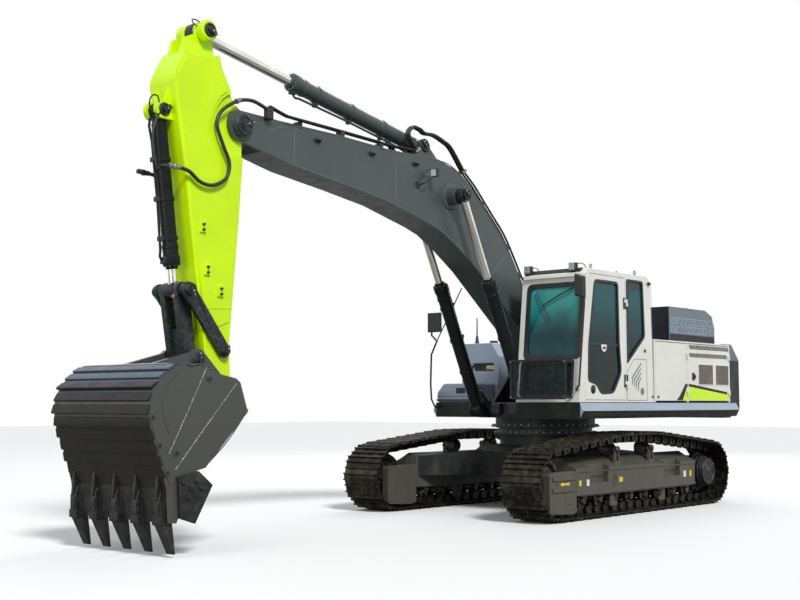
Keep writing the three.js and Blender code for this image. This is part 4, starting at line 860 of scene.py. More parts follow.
refined("swing_platform", blackPaint, 0.01)
for word, s, frontX in (("left", 1, 1.43), ("right", -1, 0.61)):
    skirt = refined("side_skirt_" + word, bluePaintAndHighlight, 0.006)
    # painted shade: the skirt's downward faces take the dark grey, and its low front faces are darker too
    repaint(skirt, darkPaintAndShade, lambda c, n: n.z < -0.2 or n.x > 0.7 and c.z < 1.3)
    vent = partObject("skirtSlot" + word, [block(-0.007, 0.007, -0.0015, 0.0015, -0.022, 0.022)])
    grown("skirt_vents_" + word, "grid", {"Width": 3.9 if s > 0 else 3.1, "Height": 0.0,
        "Columns": 110 if s > 0 else 88, "Rows": 1, "Part": vent,
        "Centre": tuple(at(frontX - (2.15 if s > 0 else 1.75), s * 1.5235, 1.30)),
        "Turn": (math.radians(-28.8 * s), 0, 0), "Finish": darkRecess}, upper)
weight = refined("counterweight", darkPaintAndShade, 0.03, smooth=40)
# painted highlight: the counterweight's upward faces high up take the lighter hood grey
repaint(weight, hoodPaintAndHighlight, lambda c, n: n.z > 0.2 and c.z > 2.0)
makePiece("deck_front_face", [block(1.4305, 1.44, 0.53, 1.47, 1.262, 1.44),
    block(0.611, 0.62, -1.47, -0.53, 1.262, 1.44)], upper, darkPaintAndShade, 0.006)
makePiece("counterweight_seams", [slab([(-3.02, 1.40), (-3.012, 1.40), (-3.012, 2.06), (-3.02, 2.06)],
    *lowHigh(s * 1.4905, s * 1.4925)) for s in (-1, 1)], upper,
    darkRecess, 0)
eye = [(-0.07, 0), (-0.055, 0.07), (-0.03, 0.1), (0.03, 0.1), (0.055, 0.07), (0.07, 0)]
for word, s in bothSides:
    lift = [(-3.16 + x, 2.342 + z) for x, z in eye]
    makePiece("counterweight_eye_" + word, [ringSlab(lift, [(-3.16 + x, 2.342 + z) for x, z in
        [(-0.026, 0.04), (-0.026, 0.062), (-0.012, 0.078), (0.012, 0.078), (0.026, 0.062), (0.026, 0.04)]],
        s * 0.86 - 0.02, s * 0.86 + 0.02)], upper, darkPaintAndShade, 0.004)
lampRing = filleted([(-0.11, -0.05), (0.11, -0.05), (0.11, 0.05), (-0.11, 0.05)], 0.03)


tailRadius, tailHeight = 3.43, 1.7


def tailPlace(angle):  # on the counterweight's curved back
    t = math.radians(angle)
    return lambda a, b, c: at(-(tailRadius + c) * math.cos(t) + a * math.sin(t),
        (tailRadius + c) * math.sin(t) + a * math.cos(t), tailHeight + b)


for word, angle in (("left", 16), ("right", -16)):
    where = tailPlace(angle)
    makePiece("tail_lamp_" + word, [slab(lampRing, -0.02, 0.004, where),
        slab(offset(lampRing, -0.018), 0.003, 0.008, where, 1)],
        upper, [blackPlastic, redPatch], 0.002)
print("stage: deck")


# a flat pattern stood up on the left or right side
facingFront = (math.pi / 2, 0, math.pi / 2)
faceTurn = {1: (math.pi / 2, 0, math.pi), -1: (math.pi / 2, 0, 0)}


def onSide(name, loop, face, s, proud, body, finish, bevel=0.001, sunk=0.0):  # a thin plate on a side face
    return makePiece(name, [slab(loop, *lowHigh(face - s * sunk, face + s * proud))], body, finish, bevel)


def seam(name, loop, width, face, s, body, finish=None):
    a, b = face - s * 0.001, face + s * 0.0015
    return makePiece(name, [ringSlab(loop, offset(loop, -width), *lowHigh(a, b))], body,
        finish or darkRecess, 0)


# a flat shape repeated in a row or grid
def pattern(name, outline, depth, centre, size, counts, turn, finish, body):
    part = partObject(name + "Part", [slab(outline, depth[0], depth[1], "xy")])
    return grown(name, "grid", {"Width": size[0], "Height": size[1], "Columns": counts[0],
        "Rows": counts[1], "Part": part,
        "Centre": tuple(at(*centre)), "Turn": turn, "Finish": finish}, body)


def slanted(width, height, lean):
    return [(-width / 2 - lean / 2, -height / 2), (width / 2 - lean / 2, -height / 2),
        (width / 2 + lean / 2, height / 2), (-width / 2 + lean / 2, height / 2)]


def rect(x0, x1, z0, z1):
    return [(x0, z0), (x1, z0), (x1, z1), (x0, z1)]


houseSide, doorRear = 1.49, -2.728
refined("engine_house", whitePaint, 0.014)
for node in ("left_front_door", "left_rear_door", "right_rear_door"):
    refined(node, whitePaint, 0.007)

for word, s, x0, x1 in (("left", 1, -1.50, -2.69), ("right", -1, -1.61, -2.69)):
    body, face = word + "_rear_door", s * houseSide
    pattern("louvre_slots_" + word, slanted(0.03, 0.06, -s * 0.03), (0, 0.0012),
        ((x0 + x1) / 2, face, 2.19), (abs(x1 - x0), 0.115), (25, 2), faceTurn[s], darkRecess, body)
    pattern("louvre_lips_" + word, slanted(0.008, 0.06, -s * 0.03), (0, 0.007),
        ((x0 + x1) / 2 - 0.019, face, 2.19), (abs(x1 - x0), 0.115), (25, 2), faceTurn[s], whitePaint, body)
    for index, (a, b) in enumerate(((-1.75, -2.195), (-2.29, -2.70)) if s > 0 else ((-1.78, -2.2),
        (-2.29, -2.70))):
        loop = rect(b, a, 1.715, 2.0)
        makePiece("grille_%s_%d" % (word, index), [ringSlab(offset(loop, 0.012), loop,
            *lowHigh(face, face + s * 0.007)),
            slab(loop, *lowHigh(face, face + s * 0.0015), "xz", 1)],
            body, [whitePaint, paleRecess], 0.002)
        pattern("grille_rows_%s_%d" % (word, index), rect(-abs(b - a) / 2, abs(b - a) / 2, -0.0035, 0.0035),
            (0, 0.005), ((a + b) / 2, face, 1.8575), (0.0, 0.265), (1, 16), faceTurn[s], meshSteel, body)
        pattern("grille_posts_%s_%d" % (word, index), rect(-0.0025, 0.0025, -0.142, 0.142), (0, 0.006),
            ((a + b) / 2, face, 1.8575), (abs(b - a) - 0.03, 0.0), (9, 1), faceTurn[s], meshSteel, body)
    latch = filleted(rect(-1.63, -1.55, 1.77, 1.88), 0.012,
        3) if s > 0 else filleted(rect(-1.72, -1.64, 1.77, 1.88), 0.012, 3)
    onSide("door_latch_" + word, latch, face, s, 0.004, body, blackPlastic)
    mid = (latch[0][0] + latch[-1][0]) / 2
    makePiece("door_latch_grip_" + word, [block(mid - 0.022, mid + 0.022, face + s * 0.004,
        face + s * 0.016, 1.80, 1.85)], body, castSteel, 0.004)

for name, body, loop, finish in (
    ("stripe_rear", "left_rear_door", [(-1.447, 1.681), (-2.722, 1.565), (-2.722, 1.484),
    (-1.447, 1.484)], limePaint),
    ("stripe_front", "left_front_door", [(-1.412, 1.676), (-1.412, 1.484), (-1.262, 1.484),
    (-1.385, 1.665)], limePaint),
    ("stripe_edge_rear", "left_rear_door", [(-1.447, 1.681), (-1.447, 1.722), (-2.722, 1.603),
    (-2.722, 1.565)], darkPaintAndShade),
    ("stripe_edge_front", "left_front_door", [(-1.412, 1.676), (-1.385, 1.665), (-1.262, 1.484),
    (-1.085, 1.484), (-1.18, 1.55), (-1.345, 1.715), (-1.412, 1.722)], darkPaintAndShade)):
    onSide(name, loop, houseSide, 1, 0.0014, body, finish, 0)
makePiece("front_door_catch", [discY((-0.56, 1.53), 0.018, 1.489, 1.502, 18, 0.003)], "left_front_door",
    blackPlastic, 0)
for word, s in bothSides:  # pressed edge along the top of the house
    onSide("house_gutter_" + word, rect(-2.74, -0.48 if s > 0 else -1.52, 2.300, 2.314), s * houseSide, s,
        0.008, upper, whitePaint, 0.003)
    for index, z in enumerate((1.62, 2.14)):
        makePiece("door_hinge_%s_%d" % (word, index), [block(doorRear + 0.012, doorRear + 0.075,
            s * houseSide, s * 1.497, z - 0.045, z + 0.045)], word + "_rear_door", whitePaint, 0.003)

lid = refined("engine_hood", hoodPaintAndHighlight, 0.012)
# painted light on the hood: upward faces take the lighter blue as a painted highlight, side faces a lighter
# painted tone, front faces near black as painted shade
repaint(lid, bluePaintAndHighlight, lambda c, n: n.z > 0.3 and c.z > 2.6)
repaint(lid, hoodSideLitTone, lambda c, n: abs(n.y) > 0.9)
repaint(lid, hoodFrontShade, lambda c, n: n.x > 0.8 and c.x > -1.7)
hoodGroups = ((-1.74, 0.12, 4), (-2.32, 0.92, 23), (-2.945, 0.12, 4))
for word, s, face in (("left", 1, 1.10), ("right", -1, -0.42)):
    for row, z in enumerate((2.657, 2.535)):
        for index, (x, w, count) in enumerate(hoodGroups):
            if row == 0 and index == 2:
                x += 0.012
            loop = rect(x - w / 2 - 0.02, x + w / 2 + 0.02, z - 0.05, z + 0.05)
            # each vent's back is a near-black sheet of painted shade
            makePiece("hood_vent_%s_%d_%d" % (word, row, index),
                [ringSlab(loop, offset(loop, -0.008), *lowHigh(face, face + s * 0.005)),
                slab(loop, *lowHigh(face, face + s * 0.0012), "xz", 1)], "engine_hood",
                [bluePaintAndHighlight, sealRubberAndShade], 0.001)
            pattern("hood_bars_%s_%d_%d" % (word, row, index), slanted(0.02, 0.088, -s * 0.02), (0, 0.006),
                (x, face, z), (w, 0.0), (count, 1), faceTurn[s], bluePaintAndHighlight, "engine_hood")
    low = rect(-3.05, -1.64, 2.365, 2.462)
    onSide("hood_low_band_" + word, low, face, s, 0.002, "engine_hood", darkPaintAndShade, 0)
    pattern("hood_low_slots_" + word, rect(-0.004, 0.004, -0.04, 0.04), (0, 0.003), (-2.345, face, 2.414),
        (1.36, 0.0), (70, 1), faceTurn[s], darkRecess, "engine_hood")
for row, z in enumerate((2.43, 2.53)):
    makePiece("hood_rear_vent_%d" % row, [slab(rect(-0.34, 1.02, z - 0.035, z + 0.035), -3.0705, -3.0685,
        "yz")], "engine_hood", darkRecess, 0)
pattern("hood_rear_bars", rect(-0.01, 0.01, -0.034, 0.034), (0, 0.003), (-3.0685, 0.34, 2.48), (1.3, 0.1),
    (34, 2), (math.pi / 2, 0, -math.pi / 2), bluePaintAndHighlight, "engine_hood")
makePiece("hood_knob", [turned([(0, 0), (0.02, 0), (0.02, 0.012), (0.012, 0.02), (0, 0.024)],
    (-2.35, 1.0, 2.864), (-2.35, 1.0, 3), 16)], "engine_hood", blackPlastic, 0)
makePiece("hood_handle", [slab(filleted(rect(0.30, 0.42, 2.39, 2.43), 0.01, 2), -3.088, -3.069, "yz")],
    "engine_hood", blackPlastic, 0.004)

# engine under the hood
power = {"rear": -2.57, "front": -1.69, "right": -0.81, "left": 0.69, "low": 1.46}
makePiece("engine_block", [
    block(-2.42, -1.84, -0.52, 0.60, 1.62, 2.02), block(-2.36, -1.90, -0.46, 0.54, 1.46, 1.64),
    block(-2.33, -1.93, -0.50, 0.58, 2.0, 2.12), block(-2.24, -2.02, -0.46, 0.54, 2.12, 2.19),
    turned([(0, 0), (0.26, 0), (0.26, 0.18), (0.2, 0.2), (0, 0.2)], (-2.13, 0.49, 1.75),
    (-2.13, 0.69, 1.75), 28)], upper, castSteel, 0.018, ["engine"])
makePiece("engine_fan", [turned([(0, 0), (0.07, 0), (0.07, 0.05), (0.04, 0.08), (0, 0.08)],
    (-2.13, -0.62, 1.86), (-2.13, -0.8, 1.86), 20)] + [
    slab([(-2.13 + 0.05 * math.cos(t), 1.86 + 0.05 * math.sin(t)),
    (-2.13 + 0.33 * math.cos(t - 0.12), 1.86 + 0.33 * math.sin(t - 0.12)),
    (-2.13 + 0.34 * math.cos(t + 0.28), 1.86 + 0.34 * math.sin(t + 0.28)),
    (-2.13 + 0.06 * math.cos(t + 0.9), 1.86 + 0.06 * math.sin(t + 0.9))],
    -0.665, -0.655) for t in (0, 1.047, 2.094, 3.142, 4.189, 5.236)], upper, blackPlastic,
    0.002)
makePiece("air_cleaner", [turned([(0, 0), (0.12, 0), (0.13, 0.02), (0.13, 0.5), (0.12, 0.53), (0.06, 0.55),
    (0.06, 0.62), (0, 0.62)], (-1.82, -0.36, 2.12), (-1.82, 0.4, 2.12), 28)], upper,
    blackPlastic, 0.002)
makePiece("silencer", [turned([(0, 0), (0.1, 0), (0.115, 0.02), (0.115, 0.6), (0.1, 0.63), (0.04, 0.64),
    (0.04, 0.7), (0, 0.7)], (-2.42, -0.3, 2.1), (-2.42, 0.5, 2.1), 28)], upper, rollerSteel,
    0.002)
pattern("cover_bolts", circlePoints((0, 0), 0.012, 6), (0, 0.012), (-2.13, 0.04, 2.19), (0.17, 0.9), (2, 6),
    (0, 0, 0), boltSteel, upper)
tube("engine_hose_0", [(-1.86, 0.26, 2.1), (-1.98, 0.36, 2.16), (-2.14, 0.42, 2.2), (-2.3, 0.4, 2.16),
    (-2.38, 0.36, 2.12)], 0.028, upper, blackRubber)
tube("engine_hose_1", [(-2.13, -0.56, 2.05), (-1.9, -0.62, 2.1), (-1.8, -0.7, 1.95), (-1.78, -0.72, 1.7)],
    0.026, upper, blackRubber)
print("stage: engine house")


refined("fuel_tank", bluePaintAndHighlight, 0.018)
refined("hydraulic_tank", whitePaint, 0.018)
refined("toolbox", bluePaintAndHighlight, 0.03)
refined("swing_motor", castSteel, 0.01)
boltRing("swing_motor_bolts", (-0.25, 0, 1.672), 0.165, 12, 0.014, upper)
makePiece("tank_recess", [slab(rect(-1.286, -0.909, 1.916, 2.026), -0.0645, -0.06, "yz"),
    slab(filleted(rect(-1.06, -0.93, 1.94, 2.0), 0.01, 2), -0.06, -0.045, "yz", 1)],
    upper, [darkRecess, brassFitting], 0.002)
makePiece("tank_cap", [turned([(0, 0), (0.075, 0), (0.075, 0.02), (0.06, 0.03), (0.06, 0.05), (0.05, 0.056),
    (0, 0.056)], (-0.42, -1.2, 2.33), (-0.42, -1.2, 3), 28)], upper, blackPlastic, 0.002)
makePiece("hydraulic_lid", [turned([(0, 0), (0.14, 0), (0.14, 0.016), (0.11, 0.02), (0, 0.02)],
    (-1.13, -1.14, 2.33), (-1.13, -1.14, 3), 32)], upper, whitePaint, 0.002)
boltRing("hydraulic_lid_bolts", (-1.13, -1.14, 2.346), 0.122, 8, 0.012, upper)
frontRecess = filleted(rect(-1.13, -0.965, 1.585, 1.665), 0.014, 3)
makePiece("toolbox_catch", [slab(frontRecess, 0.597, 0.603, "yz"),
    slab(filleted(rect(-1.08, -1.015, 1.605, 1.645), 0.01, 2), 0.602, 0.612, "yz", 1)],
    upper, [blackPlastic, castSteel], 0.002)
makePiece("toolbox_lines", [slab(rect(-1.488, -0.885, 1.535, 1.541), 0.5985, 0.6015, "yz"),
    slab(rect(-1.488, -0.885, 1.475, 1.50), 0.599, 0.606, "yz")], upper, darkRecess, 0)
makePiece("antenna", [turned([(0, 0), (0.038, 0), (0.03, 0.03), (0.018, 0.12), (0.011, 0.14), (0.008, 0.40),
    (0, 0.405)], (-0.3, -1.425, 2.33), (-0.3, -1.425, 3), 14)], upper, blackPlastic, 0)
refined("mirror_right", blackPlastic, 0.004)
for index, z in enumerate((1.60, 2.22)):
    onSide("tank_rib_%d" % index, rect(-1.49, -0.02, z, z + 0.012), -houseSide, -1, 0.005, upper,
        bluePaintAndHighlight if index else darkPaintAndShade, 0.002)

print("stage: tanks")


refined("cab_shell", whitePaint, 0.016)
refined("cab_door", whitePaint, 0.005)


cabFoot = 1.4553  # where the cab's leaning front and rear faces start


def frontAt(z):  # the cab's leaning front face
    return 1.445 - 0.11404 * (z - cabFoot)


def leaning(a, b, c):
    return at(frontAt(b) + c, a, b)


windows = {"windshield": rect(0.65, 1.43, 2.045, 2.95), "lower_windshield": rect(0.60, 1.36, 1.54, 1.985),
    "door": [(1.04, 3.012), (0.49, 3.015), (0.47, 2.218), (0.43, 1.845), (0.62, 1.594), (0.919, 1.578),
    (1.03, 1.705), (1.215, 1.735), (1.195, 2.189)],
    "quarter": [(0.245, 3.075), (-0.16, 3.075), (-0.2, 2.345), (0.245, 1.995)],
    "right_window": [(1.14, 3.02), (-0.25, 3.02), (-0.3, 2.05), (1.235, 1.88)],
    "rear_window": rect(0.64, 1.38, 2.06, 2.96)}


def backward(a, b, c):
    return at(-0.44 + 0.03964 * (b - cabFoot) - c, a, b)


for name, body, grow, bend, inset, insetBend, low, high, plane in (
    ("windshield", upper, 0.05, 0.09, 0.012, 0.07, -0.012, 0.004, leaning),
    ("lower_windshield", upper, 0.03, 0.09, 0.012, 0.07, -0.012, 0.004, leaning),
    ("door", "cab_door", 0.026, 0.07, 0.01, 0.05, 1.466, 1.4945, "xz"),
    ("quarter", upper, 0.022, 0.05, 0.012, 0.04, 1.466, 1.4945, "xz"),
    ("right_window", upper, 0.025, 0.06, 0.012, 0.05, 0.5185, 0.546, "xz"),
    ("rear_window", upper, 0.03, 0.07, 0.012, 0.05, -0.02, 0.004, backward)):
    outer = filleted(offset(windows[name], grow), bend)
    inner = filleted(offset(windows[name], -inset), insetBend)
    makePiece(name + "_seal", [ringSlab(outer, inner, low, high, plane)], body, sealRubberAndShade, 0.003)
for name, finish in (("windshield", tealGlass), ("lower_windshield", sideGlass), ("door_glass", sideGlass),
    ("quarter_glass", sideGlass), ("right_glass", sideGlass), ("rear_glass", tealGlass)):
    mesh = nodes[name].data
    mesh.materials.clear()
    mesh.materials.append(finish)
makePiece("quarter_blind", [slab([(0.235, 3.066), (-0.152, 3.066), (-0.158, 2.965), (0.235, 2.935)], 1.4745,
    1.4765)], upper, paint("blindGrey", linear(26, 34, 42), dust=0.05, scuffs=0.1), 0)
makePiece("quarter_border", [slab([(0.236, 2.935), (0.17, 2.938), (0.17, 2.06), (0.236, 2.008)], 1.4745,
    1.4765)], upper, sealRubberAndShade, 0)
makePiece("door_bar", [block(0.458, 1.2, 1.4745, 1.484, 2.178, 2.216)], "cab_door", sealRubberAndShade, 0.003)
onSide("door_latch_plate", filleted([(0.9, 2.2), (0.76, 2.2), (0.775, 2.13), (0.81, 2.105), (0.85, 2.105),
    (0.885, 2.13)], 0.02, 3), 1.476, 1, 0.012, "cab_door", whitePaint, 0.003)
makePiece("door_latch_grip", [block(0.80, 0.86, 1.488, 1.497, 2.145, 2.17)], "cab_door", blackPlastic, 0.004)
ventAt = (1.115, 1.618)
makePiece("door_vent", [turned([(0, 0), (0.056, 0), (0.056, 0.006), (0.048, 0.01), (0.044, 0.004),
    (0.03, 0.01), (0, 0.014)], (ventAt[0], 1.489, ventAt[1]), (ventAt[0], 1.6, ventAt[1]), 32)], "cab_door",
    castSteel, 0)
panelLoop = [(0.081, 2.034), (-0.256, 2.034), (-0.262, 1.478), (0.275, 1.478), (0.268, 1.859)]
seam("service_panel_seam", panelLoop, 0.006, houseSide, 1, upper)
for index in range(4):
    top = (-0.10 + 0.002 * index, 1.985 - 0.062 * index)
    low = (0.145 - 0.052 * index, 1.79 - 0.028 * index)
    tail = (low[0] - 0.004, low[1] - 0.10)
    loop = [top, (top[0] - 0.004, top[1] - 0.022), (low[0] - 0.026, low[1] - 0.012),
        (tail[0] - 0.02, tail[1]), (tail[0] - 0.006, tail[1]), (low[0], low[1])]
    onSide("panel_slash_%d" % index, loop, houseSide, 1, 0.003, upper, greyPlastic, 0.001)
makePiece("panel_badge_place", [discY((-0.13, 1.60), 0.05, 1.4895, 1.4912, 32, 0.0008)], upper,
    greyPlastic, 0)
makePiece("cab_catches", [discY((-0.205, 2.15), 0.022, 1.489, 1.504, 20, 0.004),
    discY((-0.314, 3.07), 0.024, 1.489, 1.53, 20, 0.008),
    discY((-0.40, 1.53), 0.016, 1.489, 1.503, 18, 0.003)], upper, blackPlastic, 0)
for word, z0, z1 in (("upper", 2.69, 2.84), ("lower", 1.65, 1.82)):
    finish = castSteel if word == "upper" else darkPaintAndShade
    makePiece("cab_hinge_leaf_" + word, [block(0.316, 0.345, 1.4895, 1.502, z0, z1)], "cab_door", finish,
        0.004)
    makePiece("cab_hinge_post_" + word, [block(0.255, 0.284, 1.4895, 1.502, z0, z1)], upper,
        finish, 0.004)
onSide("cab_pillar_line", [(-0.398, 3.09), (-0.406, 3.09), (-0.45 + 0.012, 1.47), (-0.43, 1.47)], houseSide,
    1, 0.001, upper, greyPlastic, 0)
makePiece("roof_panel", [slab(filleted(rect(-0.24, 1.12, 0.60, 1.42), 0.06), 3.16, 3.182, "xy"),
    slab(filleted(rect(0.05, 0.75, 0.74, 1.28), 0.05), 3.18, 3.196, "xy", 1)],
    upper, [whitePaint, blackPlastic], 0.006)
makePiece("roof_strip", [slab([(1.262, 3.10), (1.272, 3.115), (1.215, 3.178), (1.20, 3.172)], 0.58, 1.42)],
    upper, blackPlastic, 0.003)
makePiece("roof_front_edge", [slab([(1.262, 3.085), (1.275, 3.06), (1.30, 3.06), (1.292, 3.10),
    (1.20, 3.172), (1.18, 3.165)], 0.56, 1.45)], upper, whitePaint, 0.004)
for index, y in enumerate((0.61, 1.304)):
    lamp = [(-0.035, -0.06), (0.035, -0.06), (0.045, -0.045), (0.045, 0.055), (-0.035, 0.06)]
    makePiece("cab_lamp_%d" % index, [slab([(1.25 + a, 3.185 + b) for a, b in lamp], y - 0.046, y + 0.046),
        block(1.294, 1.3, y - 0.038, y + 0.038, 3.145, 3.235, 1),
        block(1.23, 1.26, y - 0.012, y + 0.012, 3.09, 3.14)],
        upper, [blackPlastic, lampGlass], 0.004)
    pattern("cab_lamp_dots_%d" % index, circlePoints((0, 0), 0.011, 8), (0, 0.003), (1.30, y, 3.19),
        (0.05, 0.06), (3, 3), facingFront, boltSteel, upper)
tube("lamp_cable_0", [(1.21, 1.30, 3.20), (1.14, 1.32, 3.245), (1.06, 1.34, 3.235), (1.02, 1.35, 3.19),
    (1.01, 1.36, 3.165)], 0.006, upper, blackRubber)
tube("lamp_cable_1", [(1.21, 0.62, 3.20), (1.15, 0.64, 3.23), (1.1, 0.66, 3.2), (1.08, 0.67, 3.165)], 0.006,
    upper, blackRubber)
for index, x in enumerate((0.835, -0.294)):
    makePiece("roof_eye_stem_%d" % index, [turned([(0, 0), (0.022, 0), (0.022, 0.01), (0.01, 0.014),
        (0.01, 0.045), (0, 0.045)], (x, 1.3, 3.164), (x, 1.3, 4), 14)], upper, boltSteel, 0)
    eyeRing = [(x + 0.026 * math.cos(t * math.pi / 6), 1.3, 3.235 + 0.026 * math.sin(t * math.pi / 6))
        for t in range(12)]
    tube("roof_eye_%d" % index, eyeRing, 0.008, upper, boltSteel, corner=0.001, sides=10, closed=True)
makePiece("roof_stud", [turned([(0, 0), (0.018, 0), (0.018, 0.012), (0.01, 0.02), (0.01, 0.055), (0, 0.06)],
    (0.185, 1.3, 3.164), (0.185, 1.3, 4), 14)], upper, castSteel, 0)
wiper = [(frontAt(2.92) + 0.03, 1.36, 2.93), (frontAt(2.8) + 0.022, 1.12, 2.83),
    (frontAt(2.7) + 0.02, 0.86, 2.70)]
tube("wiper_arm", wiper, 0.009, upper, castSteel, smooth=False, corner=0.02)
tube("wiper_blade", [(frontAt(2.52) + 0.012, 0.98, 2.50), (frontAt(2.72) + 0.012, 0.86, 2.71),
    (frontAt(2.9) + 0.012, 0.76, 2.90)], 0.008, upper, blackPlastic)
makePiece("wiper_motor", [discY((frontAt(2.97) + 0.012, 2.975), 0.03, 1.33, 1.39, 16, 0.006)],
    upper, blackPlastic, 0)

# front guard with woven wire and a side return
guardFrame = filleted(rect(0.53, 1.39, 1.49, 2.0), 0.03, 4)
makePiece("guard_frame", [ringSlab(guardFrame, filleted(rect(0.558, 1.362, 1.518, 1.972), 0.02, 4), 1.565,
    1.59, "yz")] + [
    slab([(frontAt(z) + 0.0005, z), (1.57, z), (1.57, z + 0.03), (frontAt(z + 0.03) + 0.0005, z + 0.03)], y,
    y + 0.03)
    for y in (0.53, 1.36) for z in (1.502, 1.958)], upper, blackPaint, 0.005, ["front_guard"])
pattern("guard_wires_up", rect(-0.0016, 0.0016, -0.235, 0.235), (0, 0.0032), (1.572, 0.96, 1.745),
    (0.80, 0.0), (46, 1), facingFront, castSteel, upper)
pattern("guard_wires_across", rect(-0.41, 0.41, -0.0016, 0.0016), (0, 0.0032), (1.576, 0.96, 1.745),
    (0.0, 0.45), (1, 26), facingFront, castSteel, upper)
makePiece("guard_return", [ringSlab([(1.40, 1.50), (1.566, 1.50), (1.566, 1.99), (1.392, 1.99)],
    [(1.418, 1.518), (1.55, 1.518), (1.55, 1.972), (1.41, 1.972)],
    0.53, 0.545)], upper, blackPaint, 0.003)
pattern("guard_return_wires", rect(-0.002, 0.002, -0.23, 0.23), (0, 0.004), (1.482, 0.535, 1.745),
    (0.12, 0.0), (10, 1), (math.pi / 2, 0, 0), castSteel, upper)
pattern("guard_return_rungs", rect(-0.066, 0.066, -0.002, 0.002), (0, 0.004), (1.482, 0.539, 1.745),
    (0.0, 0.44), (1, 34), (math.pi / 2, 0, 0), castSteel, upper)
boltSpots = [(y, z) for y in (0.55, 1.372) for z in (1.52, 1.97)]
makePiece("guard_bolts", [turned(stub(0.012, 0.008), (1.591, y, z),
    (1.7, y, z), 6) for y, z in boltSpots], upper, boltSteel, 0)

refined("mirror_left", blackPlastic, 0.003)
makePiece("mirror_left_rim", [slab(filleted([(1.478, 2.79), (1.636, 2.757), (1.636, 3.018), (1.482, 3.076)],
    0.04), 1.496, 1.512, "yz"), slab(filleted([(1.492, 2.806), (1.622, 2.778), (1.622, 3.004),
    (1.496, 3.056)], 0.03), 1.490, 1.497, "yz", 1)], upper, [blackPlastic, mirrorFace], 0.004)
makePiece("mirror_right_face", [slab(filleted([(-1.55, 2.49), (-1.343, 2.49), (-1.343, 2.745),
    (-1.55, 2.745)], 0.03), 0.6735, 0.6745, "yz")], upper, mirrorFace, 0)

# seat, consoles and what is seen through the glass
seatMid = 1.006
refined("consoles", blackPlastic, 0.02)


# a crowned pad with a piped seam round its edge and two sewn lines
def cushion(name, centre, half, crown, body, replaced=(), lean=0.0):
    steps = 22
    grid, verts, faces = {}, [], []
    for layer in (1, -1):
        for i in range(steps + 1):
            for j in range(steps + 1):
                u, v = 2 * i / steps - 1, 2 * j / steps - 1
                su, sv = math.sin(u * math.pi / 2), math.sin(v * math.pi / 2)
                k = 0.92 + 0.08 * math.sqrt(max(0, 1 - abs(su * sv) ** 3))
                rise = (max(0, 1 - su ** 6) * max(0, 1 - sv ** 6)) ** 0.5
                groove = 0.18 * math.exp(-((abs(su) - 0.42) / 0.05) ** 2) if layer > 0 else 0
                if (i in (0, steps) or j in (0, steps)) and layer < 0:
                    grid[layer, i, j] = grid[1, i, j]
                    continue
                grid[layer, i, j] = len(verts)
                swell = (crown if layer > 0 else 0) * (rise - groove)
                z = layer * (half[2] + swell) * (rise if rise < 0.35 else 1)
                x, y = su * half[0] * k, sv * half[1] * k
                if i in (0, steps) or j in (0, steps):
                    z = 0
                c, s = math.cos(lean), math.sin(lean)
                verts.append(at(centre[0] + x * c + z * s, centre[1] + y, centre[2] - x * s + z * c))
        for i in range(steps):
            for j in range(steps):
                faces.append(tuple(grid[layer, a, b] for a,
                    b in ((i, j), (i + 1, j), (i + 1, j + 1), (i, j + 1))))
    obj = newObject(name, rawMesh(name, [(verts, faces)], 60))
    obj.data.materials.append(seatCloth)
    smoothing = obj.modifiers.new("Soft", "SUBSURF")
    smoothing.levels = smoothing.render_levels = 1
    settle(obj, body, [], replaced)
    return obj


seatCloth = moulded("seatCloth", linear(46, 50, 56), rough=0.9, grain=0.6, scale=420)
cushion("seat_cushion", (0.30, seatMid, 1.885), (0.27, 0.25, 0.05), 0.028, upper,
    ["operator_seat"])
cushion("seat_back", (0.055, seatMid, 2.21), (0.33, 0.235, 0.05), 0.03, upper,
    lean=math.radians(98 - 180))
cushion("seat_headrest", (-0.022, seatMid, 2.62), (0.095, 0.13, 0.035), 0.018, upper,
    lean=math.radians(96 - 180))
makePiece("seat_frame", [slab([(0.02, 1.80), (0.54, 1.80), (0.54, 1.845), (0.06, 1.845), (-0.02, 2.5),
    (-0.06, 2.5)], seatMid - 0.2, seatMid + 0.2),
    block(-0.05, -0.03, seatMid - 0.05, seatMid + 0.05, 2.45, 2.62)], upper, blackPlastic, 0.01)
for word, s in bothSides:
    y = seatMid + s * 0.335
    makePiece("control_lever_" + word, [turned([(0, 0), (0.045, 0), (0.03, 0.03), (0.012, 0.06),
        (0.012, 0.15), (0.026, 0.16), (0.03, 0.22), (0.024, 0.28), (0, 0.29)],
        (0.52, y, 2.055), (0.56, y, 2.4), 16)], upper, blackPlastic, 0)
    makePiece("arm_rest_" + word, [block(0.05, 0.40, y - 0.045, y + 0.045, 2.062, 2.10)], upper,
        blackPlastic, 0.015)
makePiece("monitor", [slab([(1.02, 2.0), (1.05, 2.0), (1.02, 2.26), (0.99, 2.26)], 0.62, 0.86)],
    upper, blackPlastic, 0.012)
makePiece("monitor_stand", [block(1.02, 1.06, 0.70, 0.76, 1.51, 2.02)], upper, blackPlastic, 0.01)
makePiece("pedals", [slab([(0.98, 1.52), (1.2, 1.60), (1.2, 1.615), (0.98, 1.535)], y - 0.06,
    y + 0.06) for y in (0.90, 1.11)] + [
    turned([(0, 0), (0.012, 0), (0.012, 0.42), (0.02, 0.43), (0, 0.46)], (1.08, y, 1.55), (1.0, y, 2.0),
    12) for y in (0.96, 1.05)], upper, blackPlastic, 0.004)
makePiece("document_box", [block(0.665, 0.87, 1.415, 1.44, 1.735, 1.95)], upper,
    paint("tealBox", linear(150, 235, 235), dust=0.05), 0.01)
